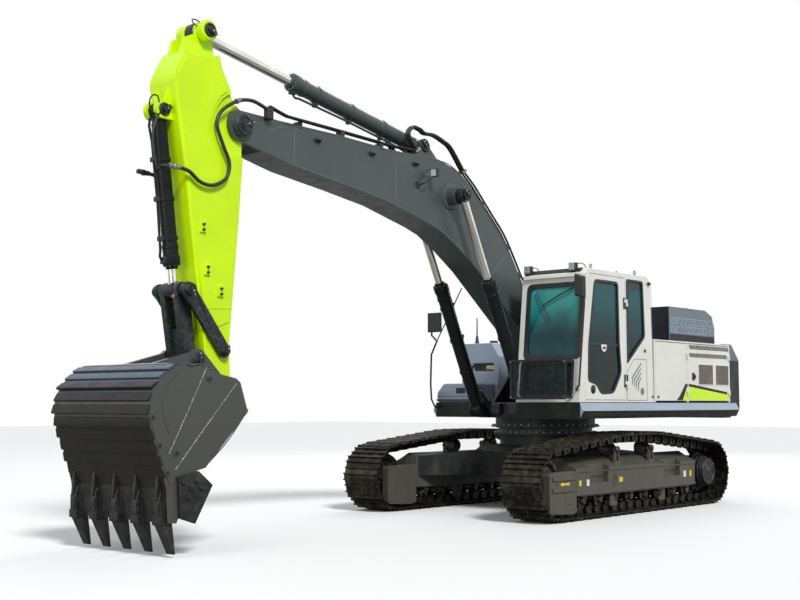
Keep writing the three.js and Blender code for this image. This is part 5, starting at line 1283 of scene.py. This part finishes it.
makePiece("belt_strap", [slab([(0.955, 2.03), (0.93, 2.03), (0.925, 1.9), (0.945, 1.8), (0.90, 1.66),
    (0.925, 1.65), (0.972, 1.8), (0.952, 1.9)], 1.435, 1.44)], upper, limePaint, 0.001)
makePiece("cab_floor_mat", [slab(rect(0.64, 1.36, 0.60, 1.42), 1.502, 1.512, "xy")], upper,
    blackRubber, 0.002)
makePiece("rear_shelf", [block(-0.33, -0.12, 0.60, 1.42, 1.505, 2.02)], upper, blackPlastic, 0.03)
print("stage: cab")


refined("boom", greyPaint, 0.009)
boomTopLine = [(0.1739, 0.70), (0.2602, 1.04), (0.3834, 1.33), (0.4605, 1.438), (0.5225, 1.376),
    (0.6551, 1.014), (0.8023, 0.669), (0.9215, 0.363)]
boomLowLine = [(0.3278, 0.425), (0.4015, 0.505), (0.4604, 0.54), (0.5004, 0.516), (0.6244, 0.392),
    (0.7364, 0.213), (0.8629, -0.004)]
armTop = [(-0.604, 0.789), (-0.47, 0.851), (-0.301, 0.92), (-0.223, 0.921), (0.716, 0.664), (1.14, 0.572),
    (2.384, 0.267)]
armLow = [(2.342, -0.071), (1.012, -0.081), (0.531, -0.077), (0.295, -0.074)]


def bead(name, points, radius, body, finish, sides=8):
    return tube(name, points, radius, body, finish, sides=sides)


for word, s in bothSides:
    for kind, line, inward in (("top", boomTopLine, -0.014), ("low", boomLowLine, 0.014)):
        bead("boom_weld_%s_%s" % (kind, word), [(boomLocal(f, v + inward)[0], s * 0.205,
            boomLocal(f, v + inward)[1]) for f, v in line], 0.0065, "boom", weldPaint)
    for index, points in enumerate((((3.474, 4.453), (3.470, 4.16), (3.473, 3.874)),
        ((1.567, 3.117), (1.37, 3.284), (1.173, 3.451)), ((5.190, 4.495), (5.188, 4.30), (5.186, 4.107)),
        ((5.605, 4.360), (5.50, 4.42), (5.366, 4.468)))):
        bead("boom_seam_%s_%d" % (word, index), [(x, s * 0.2055, z) for x, z in points], 0.005, "boom",
            weldPaint)
    tube("boom_boss_weld_" + word, [(x, s * 0.206, z) for x, z in circlePoints(boomRodPin, 0.125, 28)], 0.009,
        "boom", weldPaint, corner=0.001, sides=8, closed=True)
    makePiece("boom_collar_" + word, [turned([(0.112, 0), (0.175, 0), (0.175, 0.012), (0.165, 0.018),
        (0.112, 0.018)], (boomRodPin[0], s * 0.204, boomRodPin[1]),
        (boomRodPin[0], s * 0.4, boomRodPin[1]), 40)], "boom", greyPaint, 0)


def pinCap(name, pin, y, s, radius, body, finish=None, flag=0.0):  # a pin's end with its keeper plate
    finish = finish or castSteel
    c, n = math.cos(flag), math.sin(flag)
    keeper = [(-0.03, -0.022), (radius * 1.05, -0.026), (radius * 1.2, 0.0), (radius * 1.05, 0.026),
        (-0.03, 0.022)]
    loop = [(pin[0] + u * c - v * n, pin[1] + u * n + v * c) for u, v in keeper]
    bolts = [(pin[0] + u * c, pin[1] + u * n) for u in (radius * 0.35, radius * 0.98)]
    return makePiece(name, [
        turned([(0, 0), (radius, 0), (radius, 0.01), (radius * 0.92, 0.02), (radius * 0.72, 0.022),
        (radius * 0.68, 0.014), (radius * 0.5, 0.014),
        (radius * 0.47, 0.026), (0, 0.028)], (pin[0], y, pin[1]), (pin[0], y + s, pin[1]), 36),
        slab(filleted(loop, 0.012, 2), *lowHigh(y + s * 0.018, y + s * 0.034))] + [
        turned([(0, 0), (0.013, 0), (0.013, 0.01), (0, 0.012)], (bx, y + s * 0.034, bz), (bx, y + s, bz), 6,
        1) for bx, bz in bolts], body, [finish, boltSteel], 0.0015)


for word, s in bothSides:
    pinCap("boom_tip_pin_" + word, armPin, s * 0.259, s, 0.115, "boom", flag=math.radians(160))
    pinCap("boom_foot_pin_" + word, boomFoot, s * 0.364, s, 0.09, upper, flag=math.radians(200))
    pinCap("boom_rod_pin_" + word, boomRodPin, s * 0.4765, s, 0.07, "boom_rods", flag=math.radians(30))
    pinCap("boom_cylinder_foot_pin_" + word, boomCylinderBase, s * 0.483, s, 0.062, upper,
        flag=math.radians(150))
    pinCap("arm_cylinder_pin_" + word, armCylinderPin, s * 0.116, s, 0.075, "boom", flag=math.radians(40))
    pinCap("arm_rod_pin_" + word, armRodPin, s * 0.2145, s, 0.075, "arm", flag=math.radians(210))
    pinCap("bucket_cylinder_pin_" + word, bucketCylinderPin, s * 0.106, s, 0.068, "arm",
        flag=math.radians(150))
    pinCap("guide_foot_pin_" + word, guideFoot, s * 0.257, s, 0.052, "guide_links", flag=math.radians(100))
    pinCap("link_top_pin_" + word, linkTop, s * 0.270, s, 0.062, "guide_links", flag=math.radians(250))
    pinCap("bucket_pin_" + word, bucketPin, s * 0.273, s, 0.085, "bucket", flag=math.radians(60))
    pinCap("link_foot_pin_" + word, linkFoot, s * 0.269, s, 0.066, "bucket", flag=math.radians(80))

# hose lugs and clamps on the boom's side
for index, (x, z) in enumerate(((3.913, 4.393), (3.106, 4.390), (4.826, 4.403))):
    makePiece("boom_lug_%d" % index, [block(x - 0.045, x + 0.045, 0.204, 0.226, z - 0.02, z + 0.02), turned(
        [(0, 0), (0.013, 0), (0.013, 0.03), (0.008, 0.035), (0, 0.035)], (x + 0.02, 0.226, z),
        (x + 0.02, 1, z), 10), turned(
        [(0, 0), (0.013, 0), (0.013, 0.03), (0.008, 0.035), (0, 0.035)], (x - 0.02, 0.226, z),
        (x - 0.02, 1, z), 10)], "boom", castSteel, 0.002)

# two pipes above the boom's top plate, with clamps
pipeLine = [(0.9615, 0.385), (0.925, 0.42), (0.905, 0.46), (0.8023, 0.735), (0.7, 0.975), (0.6551, 1.08),
    (0.585, 1.27)]
lowLine = [(0.44, 1.51), (0.40, 1.45), (0.3834, 1.415), (0.32, 1.27), (0.2602, 1.125), (0.1739, 0.785),
    (0.13, 0.62)]
for word, s in bothSides:
    for k, y in enumerate((0.185, 0.14)):
        wide = (0.232, 0.262)[1 - k]
        tube("boom_pipe_front_%s_%d" % (word, k), [(boomLocal(f, v)[0], s * (wide if f > 0.89 else y),
            boomLocal(f, v)[1]) for f, v in pipeLine], 0.014, "boom", blackPaint, sides=10)
        tube("boom_pipe_rear_%s_%d" % (word, k), [(boomLocal(f, v)[0], s * y, boomLocal(f, v)[1]) for f,
            v in lowLine], 0.014, "boom", blackPaint, sides=10)
        arcHose = [boomLocal(0.585, 1.27), (3.201, 4.740), (3.124, 4.854), (2.989, 4.850), (2.891, 4.815),
            (2.712, 4.82), (2.510, 4.77), (2.36, 4.70), boomLocal(0.44, 1.50)]
        tube("boom_hose_%s_%d" % (word, k), [(x, s * (y + 0.01), z) for x, z in arcHose], 0.019, "boom",
            blackRubber)
    for index, (f, v) in enumerate(((0.88, 0.47), (0.78, 0.735), (0.68, 0.955), (0.36, 1.29), (0.25, 1.02),
        (0.19, 0.785))):
        x, z = boomLocal(f, v)
        makePiece("pipe_clamp_%s_%d" % (word, index),
            [block(x - 0.03, x + 0.03, s * 0.115, s * 0.21, z - 0.035, z + 0.042)], "boom", blackPlastic,
            0.008)
    for index, (f, v) in enumerate(((0.585, 1.27), (0.44, 1.50))):
        x, z = boomLocal(f, v)
        for k, y in enumerate((0.19, 0.145)):
            makePiece("hose_nut_%s_%d_%d" % (word, index, k),
                [turned([(0, 0), (0.026, 0), (0.026, 0.05), (0.022, 0.055), (0.022, 0.09), (0, 0.09)],
                (x + 0.03, s * y, z - 0.02), (x - 0.03, s * y, z + 0.02), 6)], "boom", brassFitting, 0)

# work light on a bent arm by the boom's knee
makePiece("boom_light_arm", [block(3.02, 3.09, 0.204, 0.218, 4.10, 4.17)], "boom", castSteel, 0.003)
tube("boom_light_stem", [(3.053, 0.215, 4.135), (3.04, 0.30, 4.15), (2.95, 0.32, 4.22),
    (2.875, 0.325, 4.26)], 0.012, "boom", castSteel, smooth=False, corner=0.03)
tube("boom_light_cable", [(3.03, 0.22, 4.17), (2.98, 0.26, 4.30), (2.88, 0.28, 4.34), (2.85, 0.30, 4.32)],
    0.006, "boom", blackRubber)
makePiece("boom_light", [slab([(2.83, 4.255), (2.895, 4.245), (2.905, 4.345), (2.84, 4.355)], 0.285, 0.375),
    slab([(2.896, 4.255), (2.903, 4.254), (2.911, 4.336), (2.904, 4.337)], 0.293,
    0.367, "xz", 1)], "boom", [blackPlastic, lampGlass], 0.006)
print("stage: boom")


def cylinder(names, bodies, base, head, y, eyeHalf, barrel, bore, rodLength, gland, finish, portSide):
    full = math.dist(base, head)
    angle = math.atan2(head[1] - base[1], head[0] - base[0])
    along = memberFrame(base, math.degrees(angle))

    def spot(u, v, across=0.0):
        x, z = along(u, v)
        return (x, y + across, z)
    axis = ((base[0], y, base[1]), (head[0], y, head[1]))
    profile = [(0, 0.05), (barrel * 0.72, 0.05), (barrel * 0.9, 0.085), (barrel * 0.9, 0.125),
        (barrel * 1.02, 0.135), (barrel * 1.02, 0.15), (barrel, 0.16),
        (barrel, gland - 0.24), (barrel * 1.1, gland - 0.235), (barrel * 1.1, gland - 0.20),
        (barrel * 1.04, gland - 0.195), (barrel * 1.04, gland - 0.125),
        (barrel * 1.16, gland - 0.118), (barrel * 1.16, gland - 0.03),
        (barrel * 1.12, gland - 0.022), (bore * 1.35, gland - 0.02),
        (bore * 1.3, gland + 0.012), (bore * 1.06, gland + 0.015), (bore * 1.02, gland - 0.02),
        (0, gland - 0.02)]
    band = [(barrel, 0), (barrel + 0.01, 0), (barrel + 0.01, 0.04), (barrel, 0.04)]
    parts = [turned(profile, *axis, 40), turned([(0, 0), (barrel * 0.97, 0), (barrel * 0.99, 0.008),
        (barrel * 0.99, 2 * eyeHalf - 0.008), (barrel * 0.97, 2 * eyeHalf), (0, 2 * eyeHalf)],
        (base[0], y - eyeHalf, base[1]), (base[0], y + eyeHalf, base[1]), 40)]
    for share in (0.3, 0.55, 0.8):
        a = along(gland * share, 0)
        parts.append(turned(band, (a[0], y, a[1]), (head[0], y, head[1]), 40))
    makePiece(names[0] + "_shape", parts, bodies[0], finish, 0.002, [names[0]])
    parts = []
    for share in (0.3, 0.55, 0.8):
        u, w = gland * share + 0.02, barrel + 0.032
        x, z = along(u, portSide * w)
        parts.append(block(x - 0.025, x + 0.025, y - 0.03, y + 0.03, z - 0.025, z + 0.025))
    makePiece(names[0] + "_clamps", parts, bodies[0], blackPlastic, 0.005)
    pipe = [spot(gland - 0.08, portSide * (barrel * 1.05)), spot(gland - 0.10, portSide * (barrel + 0.07)),
        spot(gland - 0.18, portSide * (barrel + 0.05)),
        spot(gland * 0.6, portSide * (barrel + 0.032)), spot(gland * 0.2, portSide * (barrel + 0.032)),
        spot(0.16, portSide * (barrel + 0.05)), spot(0.08, portSide * (barrel + 0.03))]
    tube(names[0] + "_pipe", pipe, 0.014, bodies[0], finish, smooth=False, corner=0.04, sides=10)
    px, pz = along(gland - 0.075, portSide * (barrel * 1.02))
    makePiece(names[0] + "_port", [block(px - 0.04, px + 0.04, y - 0.035, y + 0.035, pz - 0.035,
        pz + 0.035)], bodies[0], castSteel, 0.008)
    gx, gz = along(gland - 0.022, 0)
    boltRing(names[0] + "_gland_bolts", (gx, y, gz), barrel * 0.93, 10, 0.012, bodies[0],
        (0, math.pi / 2 - angle, 0))
    start = full - rodLength
    rod = [(0, start + 0.005), (bore, start + 0.005), (bore, full - bore * 1.6),
        (bore * 1.2, full - bore * 1.5), (bore * 1.35, full - bore * 1.1), (0, full - bore * 1.1)]
    eye = [(0, 0), (bore * 1.78, 0), (bore * 1.86, 0.01), (bore * 1.86, 2 * eyeHalf - 0.01),
        (bore * 1.78, 2 * eyeHalf), (0, 2 * eyeHalf)]
    makePiece(names[1] + "_shape", [turned(rod, *axis, 40),
        turned(eye, (head[0], y - eyeHalf, head[1]), (head[0], y + eyeHalf, head[1]), 40, 1)], bodies[1],
        [rodChrome, castSteel], 0.0015, [names[1]])


for word, s in bothSides:
    cylinder(("boom_cylinder_" + word, "boom_rod_" + word), ("boom_cylinders", "boom_rods"),
        boomCylinderBase, boomRodPin, s * 0.40, 0.055, 0.084, 0.050,
        1.86, 1.874, darkPaintAndShade, 1)
cylinder(("arm_cylinder", "arm_rod"), ("arm_cylinder", "arm_rod"), armCylinderPin, armRodPin, 0, 0.07,
    0.092, 0.058, 2.24, 2.31, greyPaint, -1)
cylinder(("bucket_cylinder", "bucket_rod"), ("bucket_cylinder", "bucket_rod"), bucketCylinderPin, linkTop,
    0, 0.06, 0.078, 0.048, 1.68, 1.60, darkPaintAndShade, 1)
print("stage: cylinders")


arm = refined("arm", limePaint, 0.008)
repaint(arm, castSteel, lambda c, n: abs(n.y) > 0.9 and abs(c.y) > 0.2)
for word, s in bothSides:
    top = [armAt(u, v - 0.035) for u, v in armTop[2:]]
    low = [armAt(u, v + 0.03) for u, v in armLow]
    bead("arm_weld_top_" + word, [(x, s * 0.1905, z) for x, z in top], 0.006, "arm", limePaint)
    bead("arm_weld_low_" + word, [(x, s * 0.1905, z) for x, z in low], 0.006, "arm", limePaint)
    bead("arm_seam_" + word, [(6.495, s * 0.2025, 2.402), (6.30, s * 0.2025, 2.414),
        (6.092, s * 0.2025, 2.425)], 0.0055, "arm", limePaint)
    loop = filleted([armAt(2.05, 0.27), armAt(2.36, 0.23), (bucketPin[0] + 0.12, bucketPin[1] + 0.05),
        (bucketPin[0], bucketPin[1] - 0.13),
        (bucketPin[0] - 0.12, bucketPin[1]), armAt(2.05, -0.045)], 0.06)
    onSide("arm_nose_plate_" + word, loop, s * 0.19, s, 0.0004, "arm", limePaint, 0)
    for index, (x, z) in enumerate(((6.487, 3.238), (6.423, 2.803), (6.241, 2.592))):
        makePiece("arm_lug_%s_%d" % (word, index), [block(x - 0.04, x + 0.04, s * 0.189, s * 0.222,
            z - 0.055, z + 0.055)] + [
            turned([(0, 0), (0.016, 0), (0.016, 0.012), (0.01, 0.014), (0.01, 0.03), (0, 0.03)],
            (x, s * 0.222, z + t * 0.028), (x, s, z + t * 0.028), 8, 1)
            for t in (-1, 1)], "arm", [limePaint, castSteel], 0.004)
    forkGap = [(0.38 * math.cos(math.radians(t)), 0.38 * math.sin(math.radians(t))) for t in range(146, -8,
        -14)]
    edge = [(-0.625, 0.39), (-0.53, 0.335)] + forkGap + [(1.012, -0.046), (2.1, -0.036), (2.17, 0.10),
        (2.1, 0.29), (1.14, 0.535), (0.716, 0.63), (-0.2, 0.88), (-0.30, 0.885), (-0.46, 0.815),
        (-0.57, 0.765)]
    loop = [armAt(u, v) for u, v in edge]
    makePiece("arm_side_plate_" + word, [slab(loop, *lowHigh(s * 0.189, s * 0.202)),
        discY(armRodPin, 0.108, *lowHigh(s * 0.115, s * 0.214), 36)], "arm", limePaint, 0.004)

# hoses from the boom's tip to the arm and the bucket cylinder
loopHose = [(5.66, 4.615), (5.85, 4.66), (6.03, 4.635), (6.15, 4.575), (6.27, 4.49), (6.336, 4.40),
    (6.347, 4.30), (6.262, 4.115), (6.175, 3.940), (6.216, 3.775),
    (6.391, 3.677), (6.564, 3.690), (6.709, 3.777), (6.86, 3.80)]
for index, y in enumerate((0.25, -0.25)):
    hose = tube("arm_hose_%d" % index, [(x, y, z) for x, z in loopHose], 0.02, "boom", blackRubber)
    hose.parent = None
    del hose["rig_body"]
    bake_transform(hose, "boom", "arm", at(6.0, y, 4.62), at(6.30, y, 4.10))
for index, y in enumerate((0.25, -0.25)):
    makePiece("arm_hose_end_%d" % index, [turned([(0, 0), (0.026, 0), (0.026, 0.05), (0.032, 0.052),
        (0.032, 0.08), (0.022, 0.084), (0.022, 0.14), (0, 0.14)],
        (6.83, y, 3.798), (6.99, y, 3.80), 12)], "arm", boltSteel if y > 0 else castSteel, 0.001)
    makePiece("boom_hose_end_%d" % index, [turned([(0, 0), (0.026, 0), (0.026, 0.05), (0.03, 0.052),
        (0.03, 0.075), (0, 0.075)], (6.02, y * 0.97, 4.64), (6.10, y, 4.605), 12)], "boom",
        boltSteel, 0.001)
clampX, clampZ = 5.610, 4.60
makePiece("boom_clamp_stack", [block(clampX - 0.045, clampX + 0.045, s * 0.203, s * 0.275, clampZ - 0.10,
    clampZ + 0.03) for s in (-1, 1)], "boom", blackPlastic, 0.012)
for word, s in bothSides:
    tube("arm_cross_pipe_" + word, [(6.97, s * 0.25, 3.80), (7.0, s * 0.19, 3.80), (6.99, s * 0.12, 3.78)],
        0.016, "arm", castSteel)
tube("grease_hose_top", [(6.50, 0.13, 5.33), (6.585, 0.135, 5.36), (6.600, 0.135, 5.392),
    (6.565, 0.135, 5.403), (6.505, 0.135, 5.39), (6.47, 0.13, 5.35), (6.43, 0.125, 5.30)],
    0.007, "arm", blackRubber)
tube("grease_hose_front", [(6.99, 0.11, 4.465), (7.03, 0.13, 4.512), (7.09, 0.13, 4.505),
    (7.125, 0.13, 4.44), (7.10, 0.12, 4.36), (7.01, 0.11, 4.33), (6.93, 0.105, 4.39)],
    0.008, "arm", blackRubber)
tube("arm_side_pipe", [(6.99, 0.10, 4.33), (7.06, 0.11, 4.16), (7.05, 0.115, 3.95), (7.01, 0.115, 3.80)],
    0.012, "arm", blackRubber)


for node in ("guide_link_left", "guide_link_right"):
    refined(node, castSteel, 0.007)
refined("bucket_link", castSteel, 0.008)
linkAt = memberFrame(linkFoot, math.degrees(math.atan2(linkTop[1] - linkFoot[1], linkTop[0] - linkFoot[0])))
fx, fz = linkAt(0.66, -0.088)
makePiece("grease_fitting", [turned([(0, 0), (0.02, 0), (0.02, 0.012), (0.01, 0.014), (0.01, 0.03),
    (0, 0.034)], (fx, 0.10, fz), (fx + 0.2, 0.10, fz + 0.02), 8)], "bucket_link", brassFitting, 0)


bucketSkin = refined("bucket", bucketPaint, 0.006)
refined("bucket_teeth", toothSteel, 0.007)
for word, s in bothSides:
    refined("side_cutter_" + word, toothSteel, 0.006)


def bucketAt(p):
    return (bucketPin[0] + p[0], bucketPin[1] + p[1])


wrapperPath = [(0.506, 0.253), (0.673, 0.306), (0.961, 0.341), (1.1, 0.3), (1.201, 0.225), (1.3, 0.129),
    (1.364, -0.02), (1.378, -0.114), (1.359, -0.261), (1.306, -0.408), (1.217, -0.639), (1.128, -0.845)]


def alongPath(path, distance):
    for a, b in zip(path, path[1:]):
        step = math.dist(a, b)
        if distance <= step:
            t = distance / step
            direction = ((b[0] - a[0]) / step, (b[1] - a[1]) / step)
            return (a[0] + (b[0] - a[0]) * t, a[1] + (b[1] - a[1]) * t), direction
        distance -= step
    return path[-1], direction


wrapSink = 0.026  # the wear ribs stand on a wrapper set this far in
wrapCorners = [(0.278, 0.186)] + wrapperPath
for vertex in bucketSkin.data.vertices:
    x, z = vertex.co.x - swingX - bucketPin[0], vertex.co.z - bucketPin[1]
    for before, corner, after in zip(wrapCorners, wrapCorners[1:], wrapCorners[2:]):
        if math.dist((x, z), corner) < 0.004:
            dx, dz = after[0] - before[0], after[1] - before[1]
            span = math.hypot(dx, dz)
            vertex.co.x += wrapSink * dz / span
            vertex.co.z -= wrapSink * dx / span

ribs = []
for index in range(12):
    (x, z), (dx, dz) = alongPath(wrapperPath, 0.36 + 0.128 * index)
    nx, nz = -dz, dx
    if nx * (x - 0.6) + nz * (z + 0.3) < 0:
        nx, nz = -nx, -nz
    loop = [(x + dx * a - nx * b, z + dz * a - nz * b) for a,
        b in ((-0.05, 0.034), (0.05, 0.034), (0.047, 0.008), (0.03, 0.007), (-0.044, 0.02))]
    half = 0.752 if index % 2 else 0.762
    ribs.append(slab([bucketAt(p) for p in loop], -half, half))
makePiece("bucket_wear_ribs", ribs[4:], "bucket", wrapPaint, 0.004)
# the upper ribs take the blue-grey painted highlight
makePiece("bucket_upper_ribs", ribs[:4], "bucket", wrapTopHighlight, 0.004)
repaint(bucketSkin, wrapPaint, lambda c, n: abs(n.y) < 0.2 and c.z < 1.3)
# painted highlight: the bucket's upward faces take the blue-grey
repaint(bucketSkin, wrapTopHighlight, lambda c, n: n.z > 0.3 and abs(n.y) < 0.2)
ridges = []
for distance in (0.04, 0.12, 0.20):
    (x, z), (dx, dz) = alongPath(wrapperPath, distance)
    ridges.append(slab([bucketAt(p) for p in ((x - dx * 0.01, z - dz * 0.01),
        (x + dx * 0.01, z + dz * 0.01), (x + dx * 0.006 - dz * 0.012, z + dz * 0.006 + dx * 0.012),
        (x - dx * 0.006 - dz * 0.012, z - dz * 0.006 + dx * 0.012))], -0.748, 0.748))
makePiece("bucket_back_beads", ridges, "bucket", bucketPaint, 0.002)
for word, s in bothSides:
    face = s * 0.751
    for index, path in enumerate((((0.658, 0.284), (0.88, -0.13), (1.106, -0.539)),
        ((0.272, 0.136), (0.65, -0.27), (1.025, -0.681)),
        ((1.06, 0.29), (1.165, -0.06), (1.16, -0.2), (1.095, -0.34)),
        ((0.119, -0.12), (0.38, -0.42), (0.66, -0.66)))):
        bead("bucket_weld_%s_%d" % (word, index), [(bucketAt(p)[0], face, bucketAt(p)[1]) for p in path],
            0.0065, "bucket", boltSteel if index < 2 else bucketPaint)
    outer = [bucketAt(p) for p in ((1.03, 0.28), (1.15, 0.21), (1.25, 0.10), (1.315, -0.03), (1.33, -0.12),
        (1.31, -0.25), (1.26, -0.39), (1.17, -0.62), (1.09, -0.82))]
    inner = [bucketAt(p) for p in ((1.0, 0.22), (1.1, 0.155), (1.19, 0.06), (1.24, -0.045), (1.25, -0.12),
        (1.235, -0.23), (1.19, -0.36), (1.10, -0.59), (1.02, -0.80))]
    wear = outer + inner[::-1]
    onSide("bucket_side_wear_" + word, wear, s * 0.75, s, 0.006, "bucket", bucketPaint, 0.002)
    corner = [bucketAt(p) for p in ((0.785, -0.72), (0.62, -0.845), (0.70, -0.99), (0.86, -0.92),
        (0.90, -0.76))]
    onSide("cutter_plate_" + word, corner, s * 0.786, s, 0.005, "bucket", toothSteel, 0.002)
    spots = ((0.945, -0.80), (0.80, -0.79), (0.84, -0.865), (0.885, -0.945), (0.73, -0.86))
    makePiece("cutter_bolts_" + word, [turned([(0, 0), (0.028, 0), (0.028, 0.012), (0.022, 0.016),
        (0.022, 0.03), (0, 0.03)], (bucketAt(p)[0], s * 0.785, bucketAt(p)[1]),
        (bucketAt(p)[0], s, bucketAt(p)[1]), 6) for p in spots], "bucket", castSteel, 0.001)
    # the dark discs in the side holes are painted shade
    makePiece("bucket_holes_" + word, [discY(bucketAt(p), 0.021, s * 0.7505, s * 0.7575, 20, 0.0002) for p in
        ((0.623, 0.173), (1.295, -0.19), (1.215, -0.45), (1.008, -0.527), (1.12, -0.71))] + [
        turned([(0.021, 0), (0.03, 0), (0.03, 0.009), (0.021, 0.009)],
        (bucketAt(p)[0], s * 0.7505, bucketAt(p)[1]), (bucketAt(p)[0], s, bucketAt(p)[1]), 20, 1)
        for p in ((0.623, 0.173), (1.295, -0.19), (1.215, -0.45), (1.008, -0.527), (1.12, -0.71))],
        "bucket", [sealRubberAndShade, bucketPaint], 0)
    inlay = [[bucketAt(p) for p in q] for q in (((0.66, -0.86), (0.70, -0.83), (0.76, -0.93),
        (0.72, -0.955)), ((0.74, -1.0), (0.78, -0.975), (0.84, -1.08), (0.80, -1.1)))]
    makePiece("cutter_inlays_" + word, [slab(q, *lowHigh(s * 0.785, s * 0.7925)) for q in inlay], "bucket",
        castSteel, 0.002)
lipCover = [bucketAt(p) for p in ((1.165, -0.72), (1.112, -0.86), (1.108, -0.94), (1.09, -0.94),
    (1.09, -0.80))]
makePiece("bucket_lip_cover", [slab(lipCover, -0.719, 0.719)], "bucket", bucketPaint, 0.004)
spread, toothCount = 0.658, 5
for index in range(toothCount):
    y = -spread + 2 * spread * index / (toothCount - 1)
    adapter = [bucketAt(p) for p in ((1.168, -0.73), (1.186, -0.96), (1.10, -0.98), (1.10, -0.80))]
    makePiece("tooth_adapter_%d" % index, [slab(adapter, y - 0.015, y + 0.015),
        slab([bucketAt(p) for p in ((1.14, -0.88), (1.178, -1.0), (1.17, -1.12), (1.06, -1.12),
        (1.06, -0.9))], y - 0.032, y + 0.032), slab([bucketAt(p) for p in ((1.13, -0.98), (1.16, -1.03),
        (1.155, -1.13), (1.06, -1.13), (1.06, -1.0))], y - 0.048, y + 0.048), block(bucketAt((1.03, 0))[0],
        bucketAt((1.17, 0))[0], y - 0.062, y + 0.062,
        bucketAt((0, -1.19))[1], bucketAt((0, -1.11))[1])], "bucket", toothSteel, 0.009)
    makePiece("tooth_pin_%d" % index, [turned(stub(0.018, 0.136),
        (bucketAt((1.1, -1.15))[0], y - 0.068, bucketAt((1.1, -1.15))[1]),
        (bucketAt((1.1, -1.15))[0], y + 0.068, bucketAt((1.1, -1.15))[1]), 12)], "bucket", rollerSteel, 0)
print("stage: arm and bucket")


for index, (y, lift) in enumerate(((0.235, 0.0), (0.165, 0.02), (-0.165, 0.02), (-0.235, 0.0))):
    path = [(-0.36, y, 1.50), (-0.40, y, 1.80), (-0.30, y, 2.12 + lift), (-0.05, y, 2.34 + lift),
        (0.22, y * 0.9, 2.52 + lift), (0.42, y * 0.8, 2.76 + lift),
        (boomLocal(0.13, 0.60)[0], y * 0.62, boomLocal(0.13, 0.60)[1])]
    hose = tube("foot_hose_%d" % index, path, 0.02, "boom", blackRubber)
    hose.parent = None
    del hose["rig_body"]
    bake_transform(hose, "upper_structure", "boom", at(-0.35, y, 1.9), at(0.25, y, 2.55))
makePiece("front_valve", [block(0.892, 0.99, s * 0.15 - 0.07, s * 0.15 + 0.07, 1.30, 1.44) for s in (-1,
    1)] + [block(0.882, 0.90, -0.26, 0.26, 1.27, 1.45)], upper, castSteel, 0.01)
for index, (s, z) in enumerate(((1, 1.40), (1, 1.34), (-1, 1.34), (-1, 1.40))):
    swung = math.degrees(math.atan2(boomRodPin[1] - boomCylinderBase[1], boomRodPin[0] - boomCylinderBase[0]))
    end = memberFrame(boomCylinderBase, swung)(0.16 + 0.04 * (index % 2), 0.0)
    path = [(0.94, s * 0.215, z), (0.945, s * 0.245, z + 0.005), (0.98, s * 0.27, z + 0.05),
        (end[0] + 0.02, s * 0.275, end[1] + 0.06), (end[0], s * 0.306, end[1])]
    hose = tube("cylinder_hose_%d" % index, path, 0.017, "boom_cylinders", blackRubber, corner=0.04)
    hose.parent = None
    del hose["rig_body"]
    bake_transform(hose, "upper_structure", "boom_cylinders", at(0.945, s * 0.24, z), at(end[0], s * 0.30, end[1]))
    makePiece("cylinder_hose_nut_%d" % index, [turned(stub(0.023, 0.03),
        (0.94, s * 0.215, z), (0.94, s * 0.4, z), 6)], upper, boltSteel, 0)
print("stage: hoses")


drawnOnce = [o for o in scene.objects if o.name.endswith("Part") or o.name.startswith("skirtSlot")
    or o.name in ("shoe", "rollerleft", "rollerright")]
for helper in list(spareParts.values()) + drawnOnce:
    if helper and helper.name in scene.objects:
        bpy.data.objects.remove(helper)

floorMesh = bpy.data.meshes.new("floor")
floorMesh.from_pydata([(-60, -60, 0), (60, -60, 0), (60, 60, 0), (-60, 60, 0)], [], [(0, 1, 2, 3)])
floor = newObject("floor", floorMesh)
floor.location.z = -0.002
floorPaint, tree, shader = newFinish("floorPaint")
seenBy = tree.nodes.new("ShaderNodeLightPath")  # pale to look at, a duller bounce
link(tree, mixed(tree, seenBy.outputs["Is Camera Ray"], (0.34, 0.34, 0.33, 1), (0.93, 0.93, 0.93, 1)),
    shader.inputs["Base Color"])
shader.inputs["Roughness"].default_value = 0.9
shader.inputs["Specular IOR Level"].default_value = 0.1
floorMesh.materials.append(floorPaint)
floor.visible_glossy = True

world = bpy.data.worlds.new("studio")
scene.world = world
world.use_nodes = True
tree = world.node_tree
tree.nodes.clear()
out = tree.nodes.new("ShaderNodeOutputWorld")
paths = tree.nodes.new("ShaderNodeLightPath")
sky = added(tree, "ShaderNodeBackground", {"Color": (0.86, 0.89, 0.93, 1), "Strength": 0.4})
white = added(tree, "ShaderNodeBackground", {"Color": (1, 1, 1, 1), "Strength": 1})
through = added(tree, "ShaderNodeMath", {0: paths.outputs["Is Glossy Ray"],
    1: paths.outputs["Is Transmission Ray"]}, operation="ADD", use_clamp=True)
seen = added(tree, "ShaderNodeMath", {0: paths.outputs["Is Camera Ray"], 1: through.outputs[0]},
    operation="ADD", use_clamp=True)
choose = added(tree, "ShaderNodeMixShader", {0: seen.outputs[0], 1: sky.outputs[0], 2: white.outputs[0]})
link(tree, choose.outputs[0], out.inputs[0])

lamps = {"key": ("SUN", (7, 13, 14), 2.7, 0.22), "fill": ("AREA", (18, 1, 5), 420, 8),
    "rim": ("AREA", (-12, -6, 13), 800, 8)}
for name, (kind, place, power, size) in lamps.items():
    lampData = bpy.data.lights.new(name, kind)
    lampData.energy = power
    if kind == "SUN":
        lampData.angle = size
    else:
        lampData.size = size
    lamp = newObject(name, lampData)
    lamp.location = at(*place)
    lamp.rotation_euler = (at(1, 0, 1.5) - lamp.location).to_track_quat("-Z", "Y").to_euler()

scene.view_settings.view_transform = "Standard"
print("stage: done")
